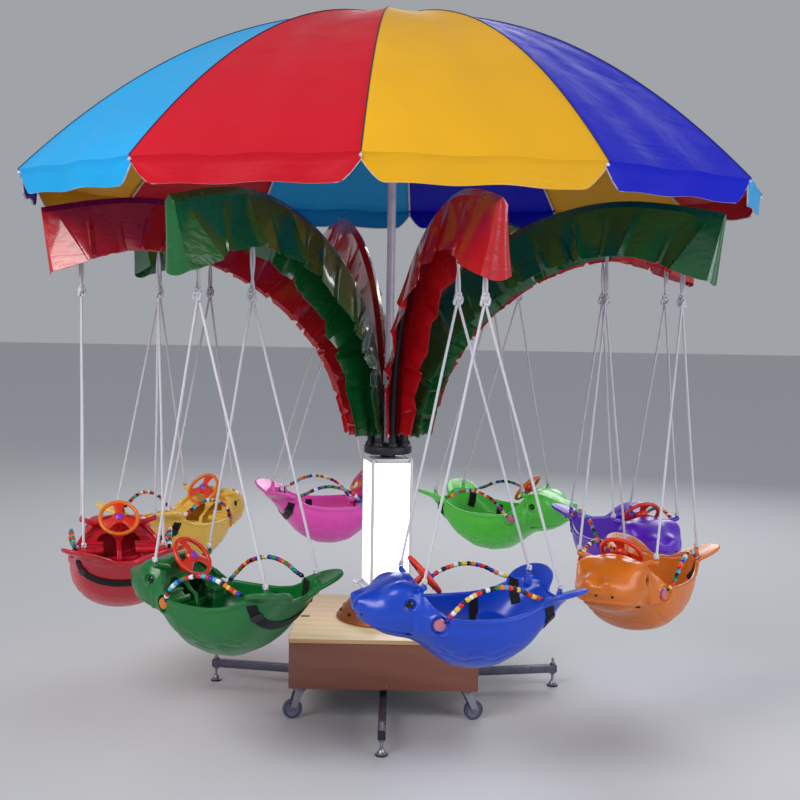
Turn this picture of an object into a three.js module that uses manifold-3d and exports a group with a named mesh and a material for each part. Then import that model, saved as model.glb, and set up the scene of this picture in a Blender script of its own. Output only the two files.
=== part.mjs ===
// Small chair swing ride: a wheeled base, a lit square column that turns, eight curved arms with
// leaf-shaped covers, eight moulded seats on ropes and a twelve-panel canopy on a mast.
// Millimetres, +Z up, floor at z = 0, the turning axis through the origin, the front towards -Y.
import * as THREE from 'three';
import { mergeVertices } from 'three/addons/utils/BufferGeometryUtils.js';
import Module from 'manifold-3d';

const wasm = await Module();
wasm.setup();

// Driving dimensions
const GAP = 0.3; // what pieces that touch keep between them
const ARM_COUNT = 8;
const ARM_PHASE = 14.6; // azimuth of the first arm in degrees, from -Y towards +X
const ARM_STEP = 360 / ARM_COUNT;

const BOX_HALF = 356; // half the side of the square wooden box
const BOX_BOTTOM = 122;
const BOX_TOP = 313;

const FRAME_HALF = 235; // half the outer side of the steel ring under the box
const FRAME_BAR = 30;
const LEG_BAR = 40; // square tube of the four outrigger legs
const LEG_BOTTOM = 50;
const LEG_AZIMUTHS = [0, 100.6, 180, 259.4];
const FOOT_RADIUS = 704; // from the turning axis to the levelling screws
const LEG_TAIL = 20; // tube left beyond its screw
const SCREW_RADIUS = 6;
const SCREW_TOP = 118;

const CASTER_PLACE = 315; // swivel axes at plus and minus this in X and Y
const CASTER_TRAIL = 28; // wheel axle behind the swivel axis
const WHEEL_RADIUS = 37.5;
const WHEEL_HALF_WIDTH = 11;
const AXLE_RADIUS = 4;

const COVER_RADIUS = 195; // domed cover over the turntable
const COVER_TOP_RADIUS = 96;
const COVER_TOP = 430;
const COLUMN_SIDE = 165; // square lantern around the lower mast
const COLUMN_WALL = 5;
const COLUMN_BOTTOM = 440;
const COLUMN_TOP = 957;
const MAST_RADIUS = 30;
const MAST_HOLE = 30.9; // clears the mast's corners, whatever way the two are turned
const MAST_TOP = 1012;
const FLANGE_SIDE = 190;
const HUB_RADIUS = 94;
const HUB_BOTTOM = 972;
const HUB_TOP = 1006;
const POLE_RADIUS = 18;
const POLE_TOP = 2608;

// Middle line of an arm, as radius and height
const ARM_LINE = [
  [70, 985], [72, 1120], [100, 1300], [165, 1470], [270, 1620],
  [410, 1735], [590, 1835], [780, 1895], [950, 1914], [1130, 1900], [1285, 1872],
];
const ARM_RADIUS = 14;
const ARM_STEPS = 11;
const LEAF_START = 0.03; // share of the arm's length where its cover starts
const LEAF_SHEET = 4;
const LEAF_RIDGE = 14.4; // half-width of the cover where it lies over the tube
const LEAF_PAST_ARM = 28; // from the end of the arm to its cover's end flap
const LEAF_FLAP = 8;

const CANOPY_PANELS = 12;
const CANOPY_PHASE = -3.2; // azimuth of one rib in degrees
const CANOPY_RADIUS = 1420;
const CANOPY_RIM = 2000;
const CANOPY_RISE = 655;
const CANOPY_POWER = 2.15; // the dome falls away with this power of the radius
const CANOPY_SHEET = 8;
const CANOPY_LEVELS = [0, 0.25, 0.5, 0.72, 0.88, 1];
const VALANCE_BOTTOM = 1912;
const VALANCE_SHEET = 5;
const VALANCE_CHAMFER = 80;
const RIB_WIDTH = 9;
const RIB_DEPTH = 12;
const RUNNER_HEIGHT = 2150;
const STRETCHER_RADIUS = 760; // where a stretcher meets its rib

const SEAT_RADIUS = 1035; // from the turning axis to the middle of a seat
const HOOK_SPREAD = 140; // each rope pair hangs this far inside and outside the middle
const HOOK_HEIGHT = 1859; // one height for all pivots, so that a seat stays level as it flies out
const ROPE_RADIUS = 4.5;
const KNOT_HEIGHT = 1585;
const FRONT_EYE = [175, 725]; // forward distance and height of the rope's front end
const REAR_EYE = [-270, 692];
const EYE_KNOT = 7; // radius of the knot at each end of a seat
const HOOK_KNOT = 9; // radius of the loop's knot at the arm
const EYE_CLEAR = 0.6; // between a knot and what carries it
const REAR_LUG = 68; // from a rear eye down to the hull's wall

// Seat hull stations: forward distance, half-width, rim height, keel height
const HULL = [
  [-350, 172, 706, 690],
  [-315, 190, 700, 652],
  [-270, 182, 676, 588],
  [-225, 170, 644, 524],
  [-160, 176, 614, 452],
  [-85, 187, 602, 416],
  [-10, 187, 600, 410],
  [60, 180, 602, 424],
  [110, 164, 606, 458],
  [150, 142, 612, 502],
  [190, 112, 622, 528],
];
const HULL_WALL = 7;
const HULL_INSIDE = [1, 8]; // first and last station that the hollow reaches
const HULL_POINTS = 7; // points of the hull's section from rim to rim
const TAIL_NOTCH = { forward: -402, radius: 84 }; // rounded notch between the two tail lobes
// Head stations: forward distance, half-width, top, bottom
const HEAD = [
  [146, 99, 703, 534],
  [185, 122, 722, 524],
  [230, 126, 724, 526],
  [275, 112, 702, 538],
  [315, 88, 682, 560],
  [345, 60, 662, 590],
  [366, 26, 642, 616],
];
const HEAD_POINTS = 8;
// Side straps from the head's shoulder back to the rim: forward, sideways, height
const STRAP = [[186, 104, 690], [160, 128, 652], [132, 150, 620], [92, 168, 594]];
const STEERING = { forward: 135, height: 716, radius: 71, rim: 8, lean: 40 };

const SEATS = [
  ['blue', 0x1450c8], ['orange', 0xe08a2c], ['purple', 0x7a3cc0], ['light_green', 0x7ee06a],
  ['pink', 0xe860b8], ['yellow', 0xf0dc7c], ['red', 0xb01838], ['green', 0x14703a],
];
const LEAF_COLOURS = [0xd02030, 0x0c7a48];

const rad = THREE.MathUtils.degToRad;
const vec = (x, y, z) => new THREE.Vector3(x, y, z);

// Solids and meshes

// A closed body through rings of points; caps lists the triangles of one end.
function loft(rings, caps) {
  const count = rings[0].length;
  const last = (rings.length - 1) * count;
  const index = [];
  for (let i = 0; i < rings.length - 1; i += 1) {
    for (let j = 0; j < count; j += 1) {
      const a = i * count + j;
      const b = i * count + ((j + 1) % count);
      index.push(a, b, b + count, a, b + count, a + count);
    }
  }
  for (const [p, q, r] of caps) {
    index.push(p, r, q, last + p, last + q, last + r);
  }
  const geometry = new THREE.BufferGeometry();
  const values = rings.flat().flatMap((p) => [p.x, p.y, p.z]);
  geometry.setAttribute('position', new THREE.Float32BufferAttribute(values, 3));
  geometry.setIndex(signedVolume(values, index) < 0 ? index.reverse() : index);
  return geometry;
}

function signedVolume(values, index) {
  const point = (i) => vec(values[3 * i], values[3 * i + 1], values[3 * i + 2]);
  let total = 0;
  for (let i = 0; i < index.length; i += 3) {
    total += point(index[i]).dot(point(index[i + 1]).cross(point(index[i + 2])));
  }
  return total / 6;
}

function fan(count) {
  return Array.from({ length: count - 2 }, (_, i) => [0, i + 1, i + 2]);
}

function solid(geometry) {
  const bare = geometry.clone();
  bare.deleteAttribute('normal');
  bare.deleteAttribute('uv');
  const merged = mergeVertices(bare, 1e-4);
  const source = merged.index.array;
  const triangles = [];
  for (let i = 0; i < source.length; i += 3) {
    const [a, b, c] = [source[i], source[i + 1], source[i + 2]];
    if (a !== b && b !== c && c !== a) {
      triangles.push(a, b, c);
    }
  }
  return new wasm.Manifold(new wasm.Mesh({
    numProp: 3,
    vertProperties: Float32Array.from(merged.attributes.position.array),
    triVerts: Uint32Array.from(triangles),
  }));
}

function shape(body) {
  const mesh = body.asOriginal().simplify(0.02).getMesh();
  const geometry = new THREE.BufferGeometry();
  geometry.setAttribute('position', new THREE.BufferAttribute(Float32Array.from(mesh.vertProperties), 3));
  geometry.setIndex(new THREE.BufferAttribute(Uint32Array.from(mesh.triVerts), 1));
  geometry.computeVertexNormals();
  return geometry;
}

function join(geometries) {
  return geometries.map(solid).reduce((a, b) => a.add(b));
}

function box(x, y, z, cx, cy, cz) {
  return new THREE.BoxGeometry(x, y, z).translate(cx, cy, cz);
}

function upright(radius, bottom, top, sides = 24) {
  return new THREE.CylinderGeometry(radius, radius, top - bottom, sides)
    .rotateX(Math.PI / 2)
    .translate(0, 0, (top + bottom) / 2);
}

// A straight bar from one point to another
function bar(from, to, radius, sides = 6) {
  const along = to.clone().sub(from);
  const turn = new THREE.Quaternion().setFromUnitVectors(vec(0, 1, 0), along.clone().normalize());
  return new THREE.CylinderGeometry(radius, radius, along.length(), sides)
    .applyQuaternion(turn)
    .translate(...from.clone().add(to).multiplyScalar(0.5).toArray());
}

// A body turned about Z from radius and height points
function turned(points, segments) {
  return new THREE.LatheGeometry(points.map(([r, z]) => new THREE.Vector2(r, z)), segments)
    .rotateX(Math.PI / 2);
}

function finish(colour, roughness, metalness = 0) {
  return new THREE.MeshStandardMaterial({ color: colour, roughness, metalness });
}

function piece(name, geometry, material) {
  const mesh = new THREE.Mesh(geometry, material);
  mesh.name = name;
  return mesh;
}

// A group whose +X points outward at an azimuth and whose -Y is the ride's heading there
function radial(azimuth, ...members) {
  const group = new THREE.Group();
  group.rotation.z = rad(azimuth - 90);
  group.add(...members);
  return group;
}

function polar(azimuth, radius, z) {
  return vec(radius * Math.sin(rad(azimuth)), -radius * Math.cos(rad(azimuth)), z);
}

// Base
const WOOD = finish(0xb98a5e, 0.45);
const BLACK_STEEL = finish(0x17171a, 0.5, 0.4);
const GREY_STEEL = finish(0x9a9aa4, 0.35, 0.8);

function baseBox() {
  const side = 2 * BOX_HALF;
  return piece('base_box', box(side, side, BOX_TOP - BOX_BOTTOM, 0, 0, (BOX_TOP + BOX_BOTTOM) / 2), WOOD);
}

function baseFrame() {
  const ringBottom = LEG_BOTTOM + LEG_BAR;
  const ringTop = BOX_BOTTOM - GAP;
  const height = ringTop - ringBottom + 1;
  const middle = ringTop - height / 2;
  const side = 2 * FRAME_HALF;
  const inner = side - 2 * FRAME_BAR;
  let body = solid(box(side, side, height, 0, 0, middle));
  body = body.subtract(solid(box(inner, inner, height + 2, 0, 0, middle)));
  for (const azimuth of LEG_AZIMUTHS) {
    const length = FOOT_RADIUS + LEG_TAIL;
    const leg = box(length, LEG_BAR, LEG_BAR, length / 2, 0, LEG_BOTTOM + LEG_BAR / 2);
    body = body.add(solid(leg.rotateZ(rad(azimuth - 90))));
  }
  for (const azimuth of LEG_AZIMUTHS) {
    const place = polar(azimuth, FOOT_RADIUS, 0);
    const hole = upright(SCREW_RADIUS + 0.5, LEG_BOTTOM - 5, LEG_BOTTOM + LEG_BAR + 5, 8);
    body = body.subtract(solid(hole.translate(place.x, place.y, 0)));
  }
  return piece('base_frame', shape(body), BLACK_STEEL);
}

function levellingFeet() {
  const names = ['front', 'right', 'rear', 'left'];
  const profile = [
    [0, 0], [22.5, 0], [22.5, 5], [9, 15], [SCREW_RADIUS, 19], [SCREW_RADIUS, SCREW_TOP], [0, SCREW_TOP],
  ];
  return LEG_AZIMUTHS.map((azimuth, i) => {
    const place = polar(azimuth, FOOT_RADIUS, 0);
    const foot = turned(profile, 8).translate(place.x, place.y, 0);
    return piece(`levelling_foot_${names[i]}`, shape(solid(foot)), GREY_STEEL);
  });
}

// Name, side in X, side in Y and the way the wheel trails, in degrees from +X
const CASTERS = [
  ['front_left', -1, -1, 200], ['front_right', 1, -1, 20], ['rear_right', 1, 1, 70], ['rear_left', -1, 1, 160],
];

function casters() {
  return CASTERS.flatMap(([name, sx, sy, heading]) => {
    const group = new THREE.Group();
    group.position.set(sx * CASTER_PLACE, sy * CASTER_PLACE, 0);
    group.rotation.z = rad(heading);
    group.add(piece(`caster_fork_${name}`, casterFork(), GREY_STEEL));
    group.add(piece(`caster_wheel_${name}`, casterWheel(), finish(0x8a86a8, 0.3)));
    return group;
  });
}

function casterFork() {
  const top = BOX_BOTTOM - 0.5;
  const cheekInside = WHEEL_HALF_WIDTH + 2;
  const cheek = 3;
  const outline = new THREE.Shape();
  outline.moveTo(-20, top - 6);
  outline.lineTo(20, top - 6);
  outline.lineTo(CASTER_TRAIL + 9, WHEEL_RADIUS - 6);
  outline.lineTo(CASTER_TRAIL - 9, WHEEL_RADIUS - 6);
  const sides = [-cheekInside - cheek, cheekInside].map((y) =>
    new THREE.ExtrudeGeometry(outline, { depth: cheek, bevelEnabled: false })
      .rotateX(Math.PI / 2)
      .translate(0, y + cheek, 0));
  const bridge = box(40, 2 * (cheekInside + cheek), 6, 0, 0, top - 8);
  const head = upright(24, top - 8, top, 12);
  const reach = cheekInside + 1;
  const axle = bar(vec(CASTER_TRAIL, -reach, WHEEL_RADIUS), vec(CASTER_TRAIL, reach, WHEEL_RADIUS), AXLE_RADIUS, 8);
  return shape(join([head, bridge, ...sides, axle]));
}

function casterWheel() {
  const bore = AXLE_RADIUS + 0.6;
  const half = WHEEL_HALF_WIDTH;
  const shoulder = half - 4;
  const profile = [
    [bore, -half], [WHEEL_RADIUS - 3, -half], [WHEEL_RADIUS, -shoulder],
    [WHEEL_RADIUS, shoulder], [WHEEL_RADIUS - 3, half], [bore, half], [bore, -half],
  ];
  const wheel = turned(profile, 16).rotateX(Math.PI / 2).translate(CASTER_TRAIL, 0, WHEEL_RADIUS);
  return shape(solid(wheel));
}

// Turning column
const CREAM = finish(0xe8e4f4, 0.3, 0.2);

function turntableCover() {
  const bottom = BOX_TOP + 0.6;
  const profile = [
    [0, bottom], [COVER_RADIUS, bottom], [COVER_RADIUS, bottom + 8], [COVER_RADIUS - 14, bottom + 30],
    [150, bottom + 72], [118, bottom + 100], [COVER_TOP_RADIUS, COVER_TOP], [0, COVER_TOP],
  ];
  return piece('turntable_cover', shape(solid(turned(profile, 20))), finish(0x9a5a30, 0.3, 0.5));
}

function mast() {
  const plate = COLUMN_BOTTOM - GAP - COVER_TOP - GAP;
  let body = solid(box(FLANGE_SIDE, FLANGE_SIDE, plate, 0, 0, COVER_TOP + GAP + plate / 2));
  const ear = FLANGE_SIDE / 2;
  for (const [x, y] of [[1, 1], [1, -1], [-1, 1], [-1, -1]]) {
    const at = (part) => part.translate(x * ear, y * ear, 0);
    body = body.add(solid(at(upright(17, COVER_TOP + GAP, COVER_TOP + GAP + plate, 12))));
    body = body.subtract(solid(at(upright(6, COVER_TOP - 5, COLUMN_BOTTOM + 5, 8))));
  }
  body = body.add(solid(upright(MAST_RADIUS, COVER_TOP + 5, MAST_TOP, 16)));
  return piece('mast', shape(body), finish(0x2a2a30, 0.5, 0.5));
}

function lightColumn() {
  const height = COLUMN_TOP - COLUMN_BOTTOM;
  const inside = COLUMN_SIDE - 2 * COLUMN_WALL;
  let body = solid(box(COLUMN_SIDE, COLUMN_SIDE, height, 0, 0, COLUMN_BOTTOM + height / 2));
  body = body.subtract(solid(box(inside, inside, height, 0, 0, COLUMN_BOTTOM + height / 2 - COLUMN_WALL)));
  body = body.subtract(solid(upright(MAST_HOLE, COLUMN_TOP - 20, COLUMN_TOP + 20, 16)));
  const lamp = finish(0xffffff, 0.25);
  lamp.emissive = new THREE.Color(0xffffff);
  return piece('light_column', shape(body), lamp);
}

function pole() {
  return piece('canopy_pole', upright(POLE_RADIUS, MAST_TOP + GAP, POLE_TOP, 16), CREAM);
}

// Arms and their covers

// Points and normals of the arm's middle line, in its own upright plane (X outward)
function armStations(start = 0) {
  const line = new THREE.CatmullRomCurve3(ARM_LINE.map(([r, z]) => vec(r, 0, z)));
  return Array.from({ length: ARM_STEPS + 1 }, (_, i) => {
    const share = Math.max(start, i / ARM_STEPS);
    const tangent = line.getTangentAt(share);
    return { share, at: line.getPointAt(share), up: vec(-tangent.z, 0, tangent.x) };
  });
}

function armHeight(radius) {
  const line = new THREE.CatmullRomCurve3(ARM_LINE.map(([r, z]) => vec(r, 0, z)));
  let [low, high] = [0, 1];
  for (let i = 0; i < 40; i += 1) {
    const middle = (low + high) / 2;
    if (line.getPointAt(middle).x < radius) {
      low = middle;
    } else {
      high = middle;
    }
  }
  return line.getPointAt(low).z;
}

function armTube() {
  const sides = 6;
  const rings = armStations().map(({ at, up }) =>
    Array.from({ length: sides }, (_, j) => {
      const angle = (2 * Math.PI * j) / sides;
      return at.clone().addScaledVector(up, ARM_RADIUS * Math.cos(angle)).add(vec(0, ARM_RADIUS * Math.sin(angle), 0));
    }));
  return loft(rings, fan(sides));
}

function hookTab(radius) {
  const tube = armHeight(radius);
  const bottom = HOOK_HEIGHT + HOOK_KNOT + EYE_CLEAR;
  return box(10, 8, tube - bottom, radius, 0, (tube + bottom) / 2);
}

function armCrown() {
  let body = solid(upright(HUB_RADIUS, HUB_BOTTOM, HUB_TOP, 16));
  for (let i = 0; i < ARM_COUNT; i += 1) {
    const turn = rad(ARM_PHASE + i * ARM_STEP - 90);
    const tabs = [-1, 1].map((side) => hookTab(SEAT_RADIUS + side * HOOK_SPREAD));
    for (const part of [armTube(), ...tabs]) {
      body = body.add(solid(part.rotateZ(turn)));
    }
  }
  body = body.subtract(solid(upright(MAST_HOLE, HUB_BOTTOM - 20, HUB_TOP + 20, 16)));
  return piece('arm_crown', shape(body), finish(0x3c3c44, 0.45, 0.6));
}

// How far the cover's hem hangs from the arm, and how wide it stands there, along the arm
function leafDepth(share) {
  return 88 + 84 * Math.min(1, share / 0.36) ** 0.8 + 36 * Math.max(0, share - 0.85) / 0.15;
}

function leafSpread(share) {
  return 46 + 18 * Math.min(1, share / 0.3);
}

function leafRing(at, up, depth, spread) {
  const inner = LEAF_RIDGE;
  const outer = inner + LEAF_SHEET;
  const place = (side, rise) => at.clone().addScaledVector(up, rise).add(vec(0, side, 0));
  return [
    place(-spread - LEAF_SHEET, -depth), place(-outer, outer), place(outer, outer),
    place(spread + LEAF_SHEET, -depth), place(spread, -depth), place(inner, inner),
    place(-inner, inner), place(-spread, -depth),
  ];
}

function leafCover() {
  const stations = armStations(LEAF_START);
  const end = stations.at(-1);
  const past = vec(end.up.z, 0, -end.up.x).multiplyScalar(LEAF_PAST_ARM);
  stations.push({ ...end, at: end.at.clone().add(past) });
  const rings = stations.map(({ share, at, up }) => leafRing(at, up, leafDepth(share), leafSpread(share)));
  const caps = [[0, 1, 6], [0, 6, 7], [1, 2, 5], [1, 5, 6], [2, 3, 4], [2, 4, 5]];
  const tent = solid(loft(rings, caps));
  const depth = leafDepth(1);
  const spread = leafSpread(1) + LEAF_SHEET;
  const top = end.at.z + LEAF_RIDGE + LEAF_SHEET;
  const flap = new THREE.Shape();
  flap.moveTo(-LEAF_RIDGE - LEAF_SHEET, top);
  flap.lineTo(LEAF_RIDGE + LEAF_SHEET, top);
  flap.lineTo(spread, end.at.z - depth);
  flap.lineTo(-spread, end.at.z - depth);
  const sheet = new THREE.ExtrudeGeometry(flap, { depth: LEAF_FLAP, bevelEnabled: false })
    .rotateX(Math.PI / 2)
    .rotateZ(Math.PI / 2)
    .translate(end.at.x + LEAF_PAST_ARM - LEAF_FLAP / 2, 0, 0);
  return shape(tent.add(solid(sheet)));
}

function leafCovers() {
  return Array.from({ length: ARM_COUNT }, (_, i) => {
    const colour = LEAF_COLOURS[i % 2];
    const cover = piece(`leaf_cover_${SEATS[i][0]}_seat`, leafCover(), finish(colour, 0.25));
    return radial(ARM_PHASE + i * ARM_STEP, cover);
  });
}

// Canopy
function domeHeight(share) {
  return CANOPY_RIM + CANOPY_RISE * (1 - share ** CANOPY_POWER);
}

function canopyDome() {
  const azimuths = Array.from({ length: CANOPY_PANELS }, (_, k) => CANOPY_PHASE + (360 / CANOPY_PANELS) * k);
  const levels = CANOPY_LEVELS.slice(1);
  const level = (share, lower) => azimuths.map((a) => polar(a, CANOPY_RADIUS * share, domeHeight(share) - lower));
  const rings = [...levels.map((s) => level(s, 0)), ...levels.toReversed().map((s) => level(s, CANOPY_SHEET))];
  const points = [vec(0, 0, domeHeight(0)), ...rings.flat(), vec(0, 0, domeHeight(0) - CANOPY_SHEET)];
  const count = azimuths.length;
  const end = points.length - 1;
  const index = [];
  for (let j = 0; j < count; j += 1) {
    const next = (j + 1) % count;
    index.push(0, 1 + j, 1 + next);
    index.push(end, end - count + next, end - count + j);
    for (let i = 0; i < rings.length - 1; i += 1) {
      const a = 1 + i * count + j;
      const b = 1 + i * count + next;
      index.push(a, a + count, b + count, a, b + count, b);
    }
  }
  const geometry = new THREE.BufferGeometry();
  const values = points.flatMap((p) => [p.x, p.y, p.z]);
  geometry.setAttribute('position', new THREE.Float32BufferAttribute(values, 3));
  geometry.setIndex(signedVolume(values, index) < 0 ? index.reverse() : index);
  return geometry;
}

function valance(panel) {
  const half = Math.PI / CANOPY_PANELS;
  const width = CANOPY_RADIUS * Math.sin(half) - 2;
  const face = CANOPY_RADIUS * Math.cos(half) - 0.4;
  const outline = new THREE.Shape();
  outline.moveTo(-width, CANOPY_RIM - 1);
  outline.lineTo(width, CANOPY_RIM - 1);
  outline.lineTo(width, CANOPY_RIM - 14);
  outline.lineTo(width - VALANCE_CHAMFER, VALANCE_BOTTOM);
  outline.lineTo(-width + VALANCE_CHAMFER, VALANCE_BOTTOM);
  outline.lineTo(-width, CANOPY_RIM - 14);
  const azimuth = CANOPY_PHASE + (360 / CANOPY_PANELS) * (panel + 0.5);
  return new THREE.ExtrudeGeometry(outline, { depth: VALANCE_SHEET, bevelEnabled: false })
    .rotateX(Math.PI / 2)
    .rotateZ(Math.PI / 2)
    .translate(face - VALANCE_SHEET, 0, 0)
    .rotateZ(rad(azimuth - 90));
}

function canopy() {
  const skirts = Array.from({ length: CANOPY_PANELS }, (_, k) => valance(k));
  return piece('canopy', shape(join([canopyDome(), ...skirts])), finish(0xd8b23a, 0.5));
}

// One rib under the canopy: its top follows the underside of the cloth
function rib() {
  const rings = CANOPY_LEVELS.map((share) => {
    const radius = share === 0 ? 12 : (CANOPY_RADIUS - 14) * share;
    const top = domeHeight(radius / CANOPY_RADIUS) - CANOPY_SHEET - 2;
    return [[-1, 0], [1, 0], [1, -1], [-1, -1]].map(([side, low]) =>
      vec(radius, (side * RIB_WIDTH) / 2, top + low * RIB_DEPTH));
  });
  return loft(rings, fan(4));
}

function canopyFrame() {
  const crownTop = domeHeight(0) - CANOPY_SHEET - 4;
  let body = solid(upright(34, POLE_TOP + GAP, crownTop, 12));
  const runner = upright(34, RUNNER_HEIGHT - 20, RUNNER_HEIGHT + 20, 12);
  const bore = upright(POLE_RADIUS + GAP, RUNNER_HEIGHT - 40, RUNNER_HEIGHT + 40, 16);
  body = body.add(solid(runner).subtract(solid(bore)));
  const share = STRETCHER_RADIUS / CANOPY_RADIUS;
  const meet = vec(STRETCHER_RADIUS, 0, domeHeight(share) - CANOPY_SHEET - RIB_DEPTH);
  for (let k = 0; k < CANOPY_PANELS; k += 1) {
    const turn = rad(CANOPY_PHASE + (360 / CANOPY_PANELS) * k - 90);
    body = body.add(solid(rib().rotateZ(turn)));
    body = body.add(solid(bar(vec(28, 0, RUNNER_HEIGHT), meet, 5, 4).rotateZ(turn)));
  }
  return piece('canopy_frame', shape(body), finish(0xd8d8de, 0.35, 0.6));
}

// Seats, in a frame with X outward, the heading towards -Y
const seatPoint = (forward, side, z) => vec(SEAT_RADIUS + side, -forward, z);

function hullRing([forward, half, rim, keel], inset, lift) {
  const points = Array.from({ length: HULL_POINTS }, (_, i) => {
    const angle = (Math.PI * i) / (HULL_POINTS - 1) - Math.PI / 2;
    const depth = Math.max(4, rim - keel - inset);
    return seatPoint(forward, (half - inset) * Math.sin(angle), rim - depth * Math.cos(angle) ** 0.8);
  });
  if (lift > 0) {
    points.push(seatPoint(forward, half - inset, rim + lift), seatPoint(forward, inset - half, rim + lift));
  }
  return points;
}

function headRing([forward, half, top, bottom]) {
  return Array.from({ length: HEAD_POINTS }, (_, i) => {
    const angle = (2 * Math.PI * (i + 0.5)) / HEAD_POINTS;
    const height = (top + bottom) / 2 + ((top - bottom) / 2) * Math.cos(angle);
    return seatPoint(forward, half * Math.sin(angle), height);
  });
}

function strap(side) {
  const rings = STRAP.map(([forward, out, z]) =>
    [[-7, 14], [7, 14], [7, -14], [-7, -14]].map(([across, up]) =>
      seatPoint(forward, side * (out + across), z + up)));
  return loft(rings, fan(4));
}

function steeringWheel() {
  const { forward, height, radius, rim, lean } = STEERING;
  const ring = new THREE.TorusGeometry(radius, rim, 4, 12);
  const spokes = [90, 210, 330].map((a) =>
    bar(vec(0, 0, 0), vec(radius * Math.cos(rad(a)), radius * Math.sin(rad(a)), 0), 6, 3));
  const post = bar(vec(0, 0, 0), vec(0, 0, -60), 9, 6);
  return [ring, post, ...spokes].map((part) =>
    part.rotateX(rad(lean - 90)).translate(SEAT_RADIUS, -forward, height));
}

function frontLugs() {
  const [forward, z] = FRONT_EYE;
  const top = z - EYE_KNOT - EYE_CLEAR;
  return box(2 * HOOK_SPREAD + 14, 14, 12, SEAT_RADIUS, -forward, top - 6);
}

function rearLug(side) {
  const [forward, z] = REAR_EYE;
  const top = z - EYE_KNOT - EYE_CLEAR;
  const bottom = z - REAR_LUG;
  return box(26, 18, top - bottom, SEAT_RADIUS + side * (HOOK_SPREAD + 4), -forward, (top + bottom) / 2);
}

function seatShell() {
  const outer = solid(loft(HULL.map((s) => hullRing(s, 0, 0)), fan(HULL_POINTS)));
  const hollowStations = HULL.slice(HULL_INSIDE[0], HULL_INSIDE[1] + 1);
  const hollow = solid(loft(hollowStations.map((s) => hullRing(s, HULL_WALL, 60)), fan(HULL_POINTS + 2)));
  const notch = solid(upright(TAIL_NOTCH.radius, 600, 760, 12).translate(SEAT_RADIUS, -TAIL_NOTCH.forward, 0));
  const sides = [-1, 1].flatMap((side) => [strap(side), rearLug(side)]);
  const head = loft(HEAD.map(headRing), fan(HEAD_POINTS));
  const added = join([head, frontLugs(), ...sides, ...steeringWheel()]);
  return shape(outer.subtract(hollow).subtract(notch).add(added));
}

// One pair of ropes: doubled from the hook to a knot, then one strand to each end of the seat
function ropePair(side) {
  const radius = SEAT_RADIUS + side * HOOK_SPREAD;
  const at = ([forward, z]) => vec(radius, -forward, z);
  const hook = at([0, HOOK_HEIGHT]);
  const knot = at([0, KNOT_HEIGHT]);
  const ball = (size, place) => new THREE.SphereGeometry(size, 5, 4)
    .rotateX(Math.PI / 2)
    .translate(...place.toArray());
  const parts = [
    bar(hook, knot, 1.6 * ROPE_RADIUS, 5),
    ball(3 * ROPE_RADIUS, knot),
    ball(HOOK_KNOT, hook),
    ball(EYE_KNOT, at(FRONT_EYE)),
    ball(EYE_KNOT, at(REAR_EYE)),
    bar(knot, at(FRONT_EYE), ROPE_RADIUS, 5),
    bar(knot, at(REAR_EYE), ROPE_RADIUS, 5),
  ];
  return shape(join(parts));
}

function seats() {
  const rope = finish(0xf0f0f4, 0.8);
  return SEATS.map(([name, colour], i) => radial(
    ARM_PHASE + i * ARM_STEP,
    piece(`seat_${name}`, seatShell(), finish(colour, 0.25)),
    piece(`rope_pair_inner_${name}`, ropePair(-1), rope),
    piece(`rope_pair_outer_${name}`, ropePair(1), rope),
  ));
}

function ride() {
  const group = new THREE.Group();
  group.add(baseBox(), baseFrame(), ...levellingFeet(), ...casters());
  group.add(turntableCover());
  group.add(radial(ARM_PHASE, mast(), lightColumn()));
  group.add(pole(), armCrown(), ...leafCovers(), canopy(), canopyFrame());
  group.add(...seats());
  return group;
}

export default ride();
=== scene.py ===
"""Looks of the chair swing ride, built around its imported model: +Z up, the front towards -Y.

Pieces are drawn in millimetres and become Blender's metres when their meshes are made and placed.
"""

import itertools
import math
import random
from functools import reduce

import bmesh
import bpy
import numpy as np
from mathutils import Matrix, Vector
from mathutils.bvhtree import BVHTree


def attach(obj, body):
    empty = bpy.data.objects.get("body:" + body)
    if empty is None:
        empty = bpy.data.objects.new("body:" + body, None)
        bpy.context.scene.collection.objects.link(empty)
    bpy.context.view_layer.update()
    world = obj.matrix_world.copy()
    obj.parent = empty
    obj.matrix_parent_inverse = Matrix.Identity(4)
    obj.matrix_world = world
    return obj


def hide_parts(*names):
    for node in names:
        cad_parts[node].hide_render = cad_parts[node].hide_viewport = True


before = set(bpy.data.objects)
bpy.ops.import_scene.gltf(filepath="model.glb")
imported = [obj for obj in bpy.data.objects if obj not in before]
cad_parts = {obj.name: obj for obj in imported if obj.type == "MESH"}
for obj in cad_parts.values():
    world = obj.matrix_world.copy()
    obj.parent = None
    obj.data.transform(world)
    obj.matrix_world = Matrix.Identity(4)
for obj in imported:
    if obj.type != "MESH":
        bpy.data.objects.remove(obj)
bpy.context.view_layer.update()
MM = 0.001

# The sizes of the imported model, in millimetres and degrees; azimuths as in polar()
SEAT_NAMES = ["blue", "orange", "purple", "light_green", "pink", "yellow", "red", "green"]
RED_WHEELS = ("blue", "green", "orange", "purple")
ARM_PHASE, ARM_STEP = 14.6, 45
SEAT_RADIUS, HOOK_SPREAD = 1035, 140
HOOK_HEIGHT, KNOT_HEIGHT = 1859, 1585
# On a seat, forward and up: where the ropes end, the eyes and the plugs
FRONT_LUG, REAR_LUG = (175, 725), (-270, 692)
EYE, PLUG = (214, 650), (126, 590)
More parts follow.
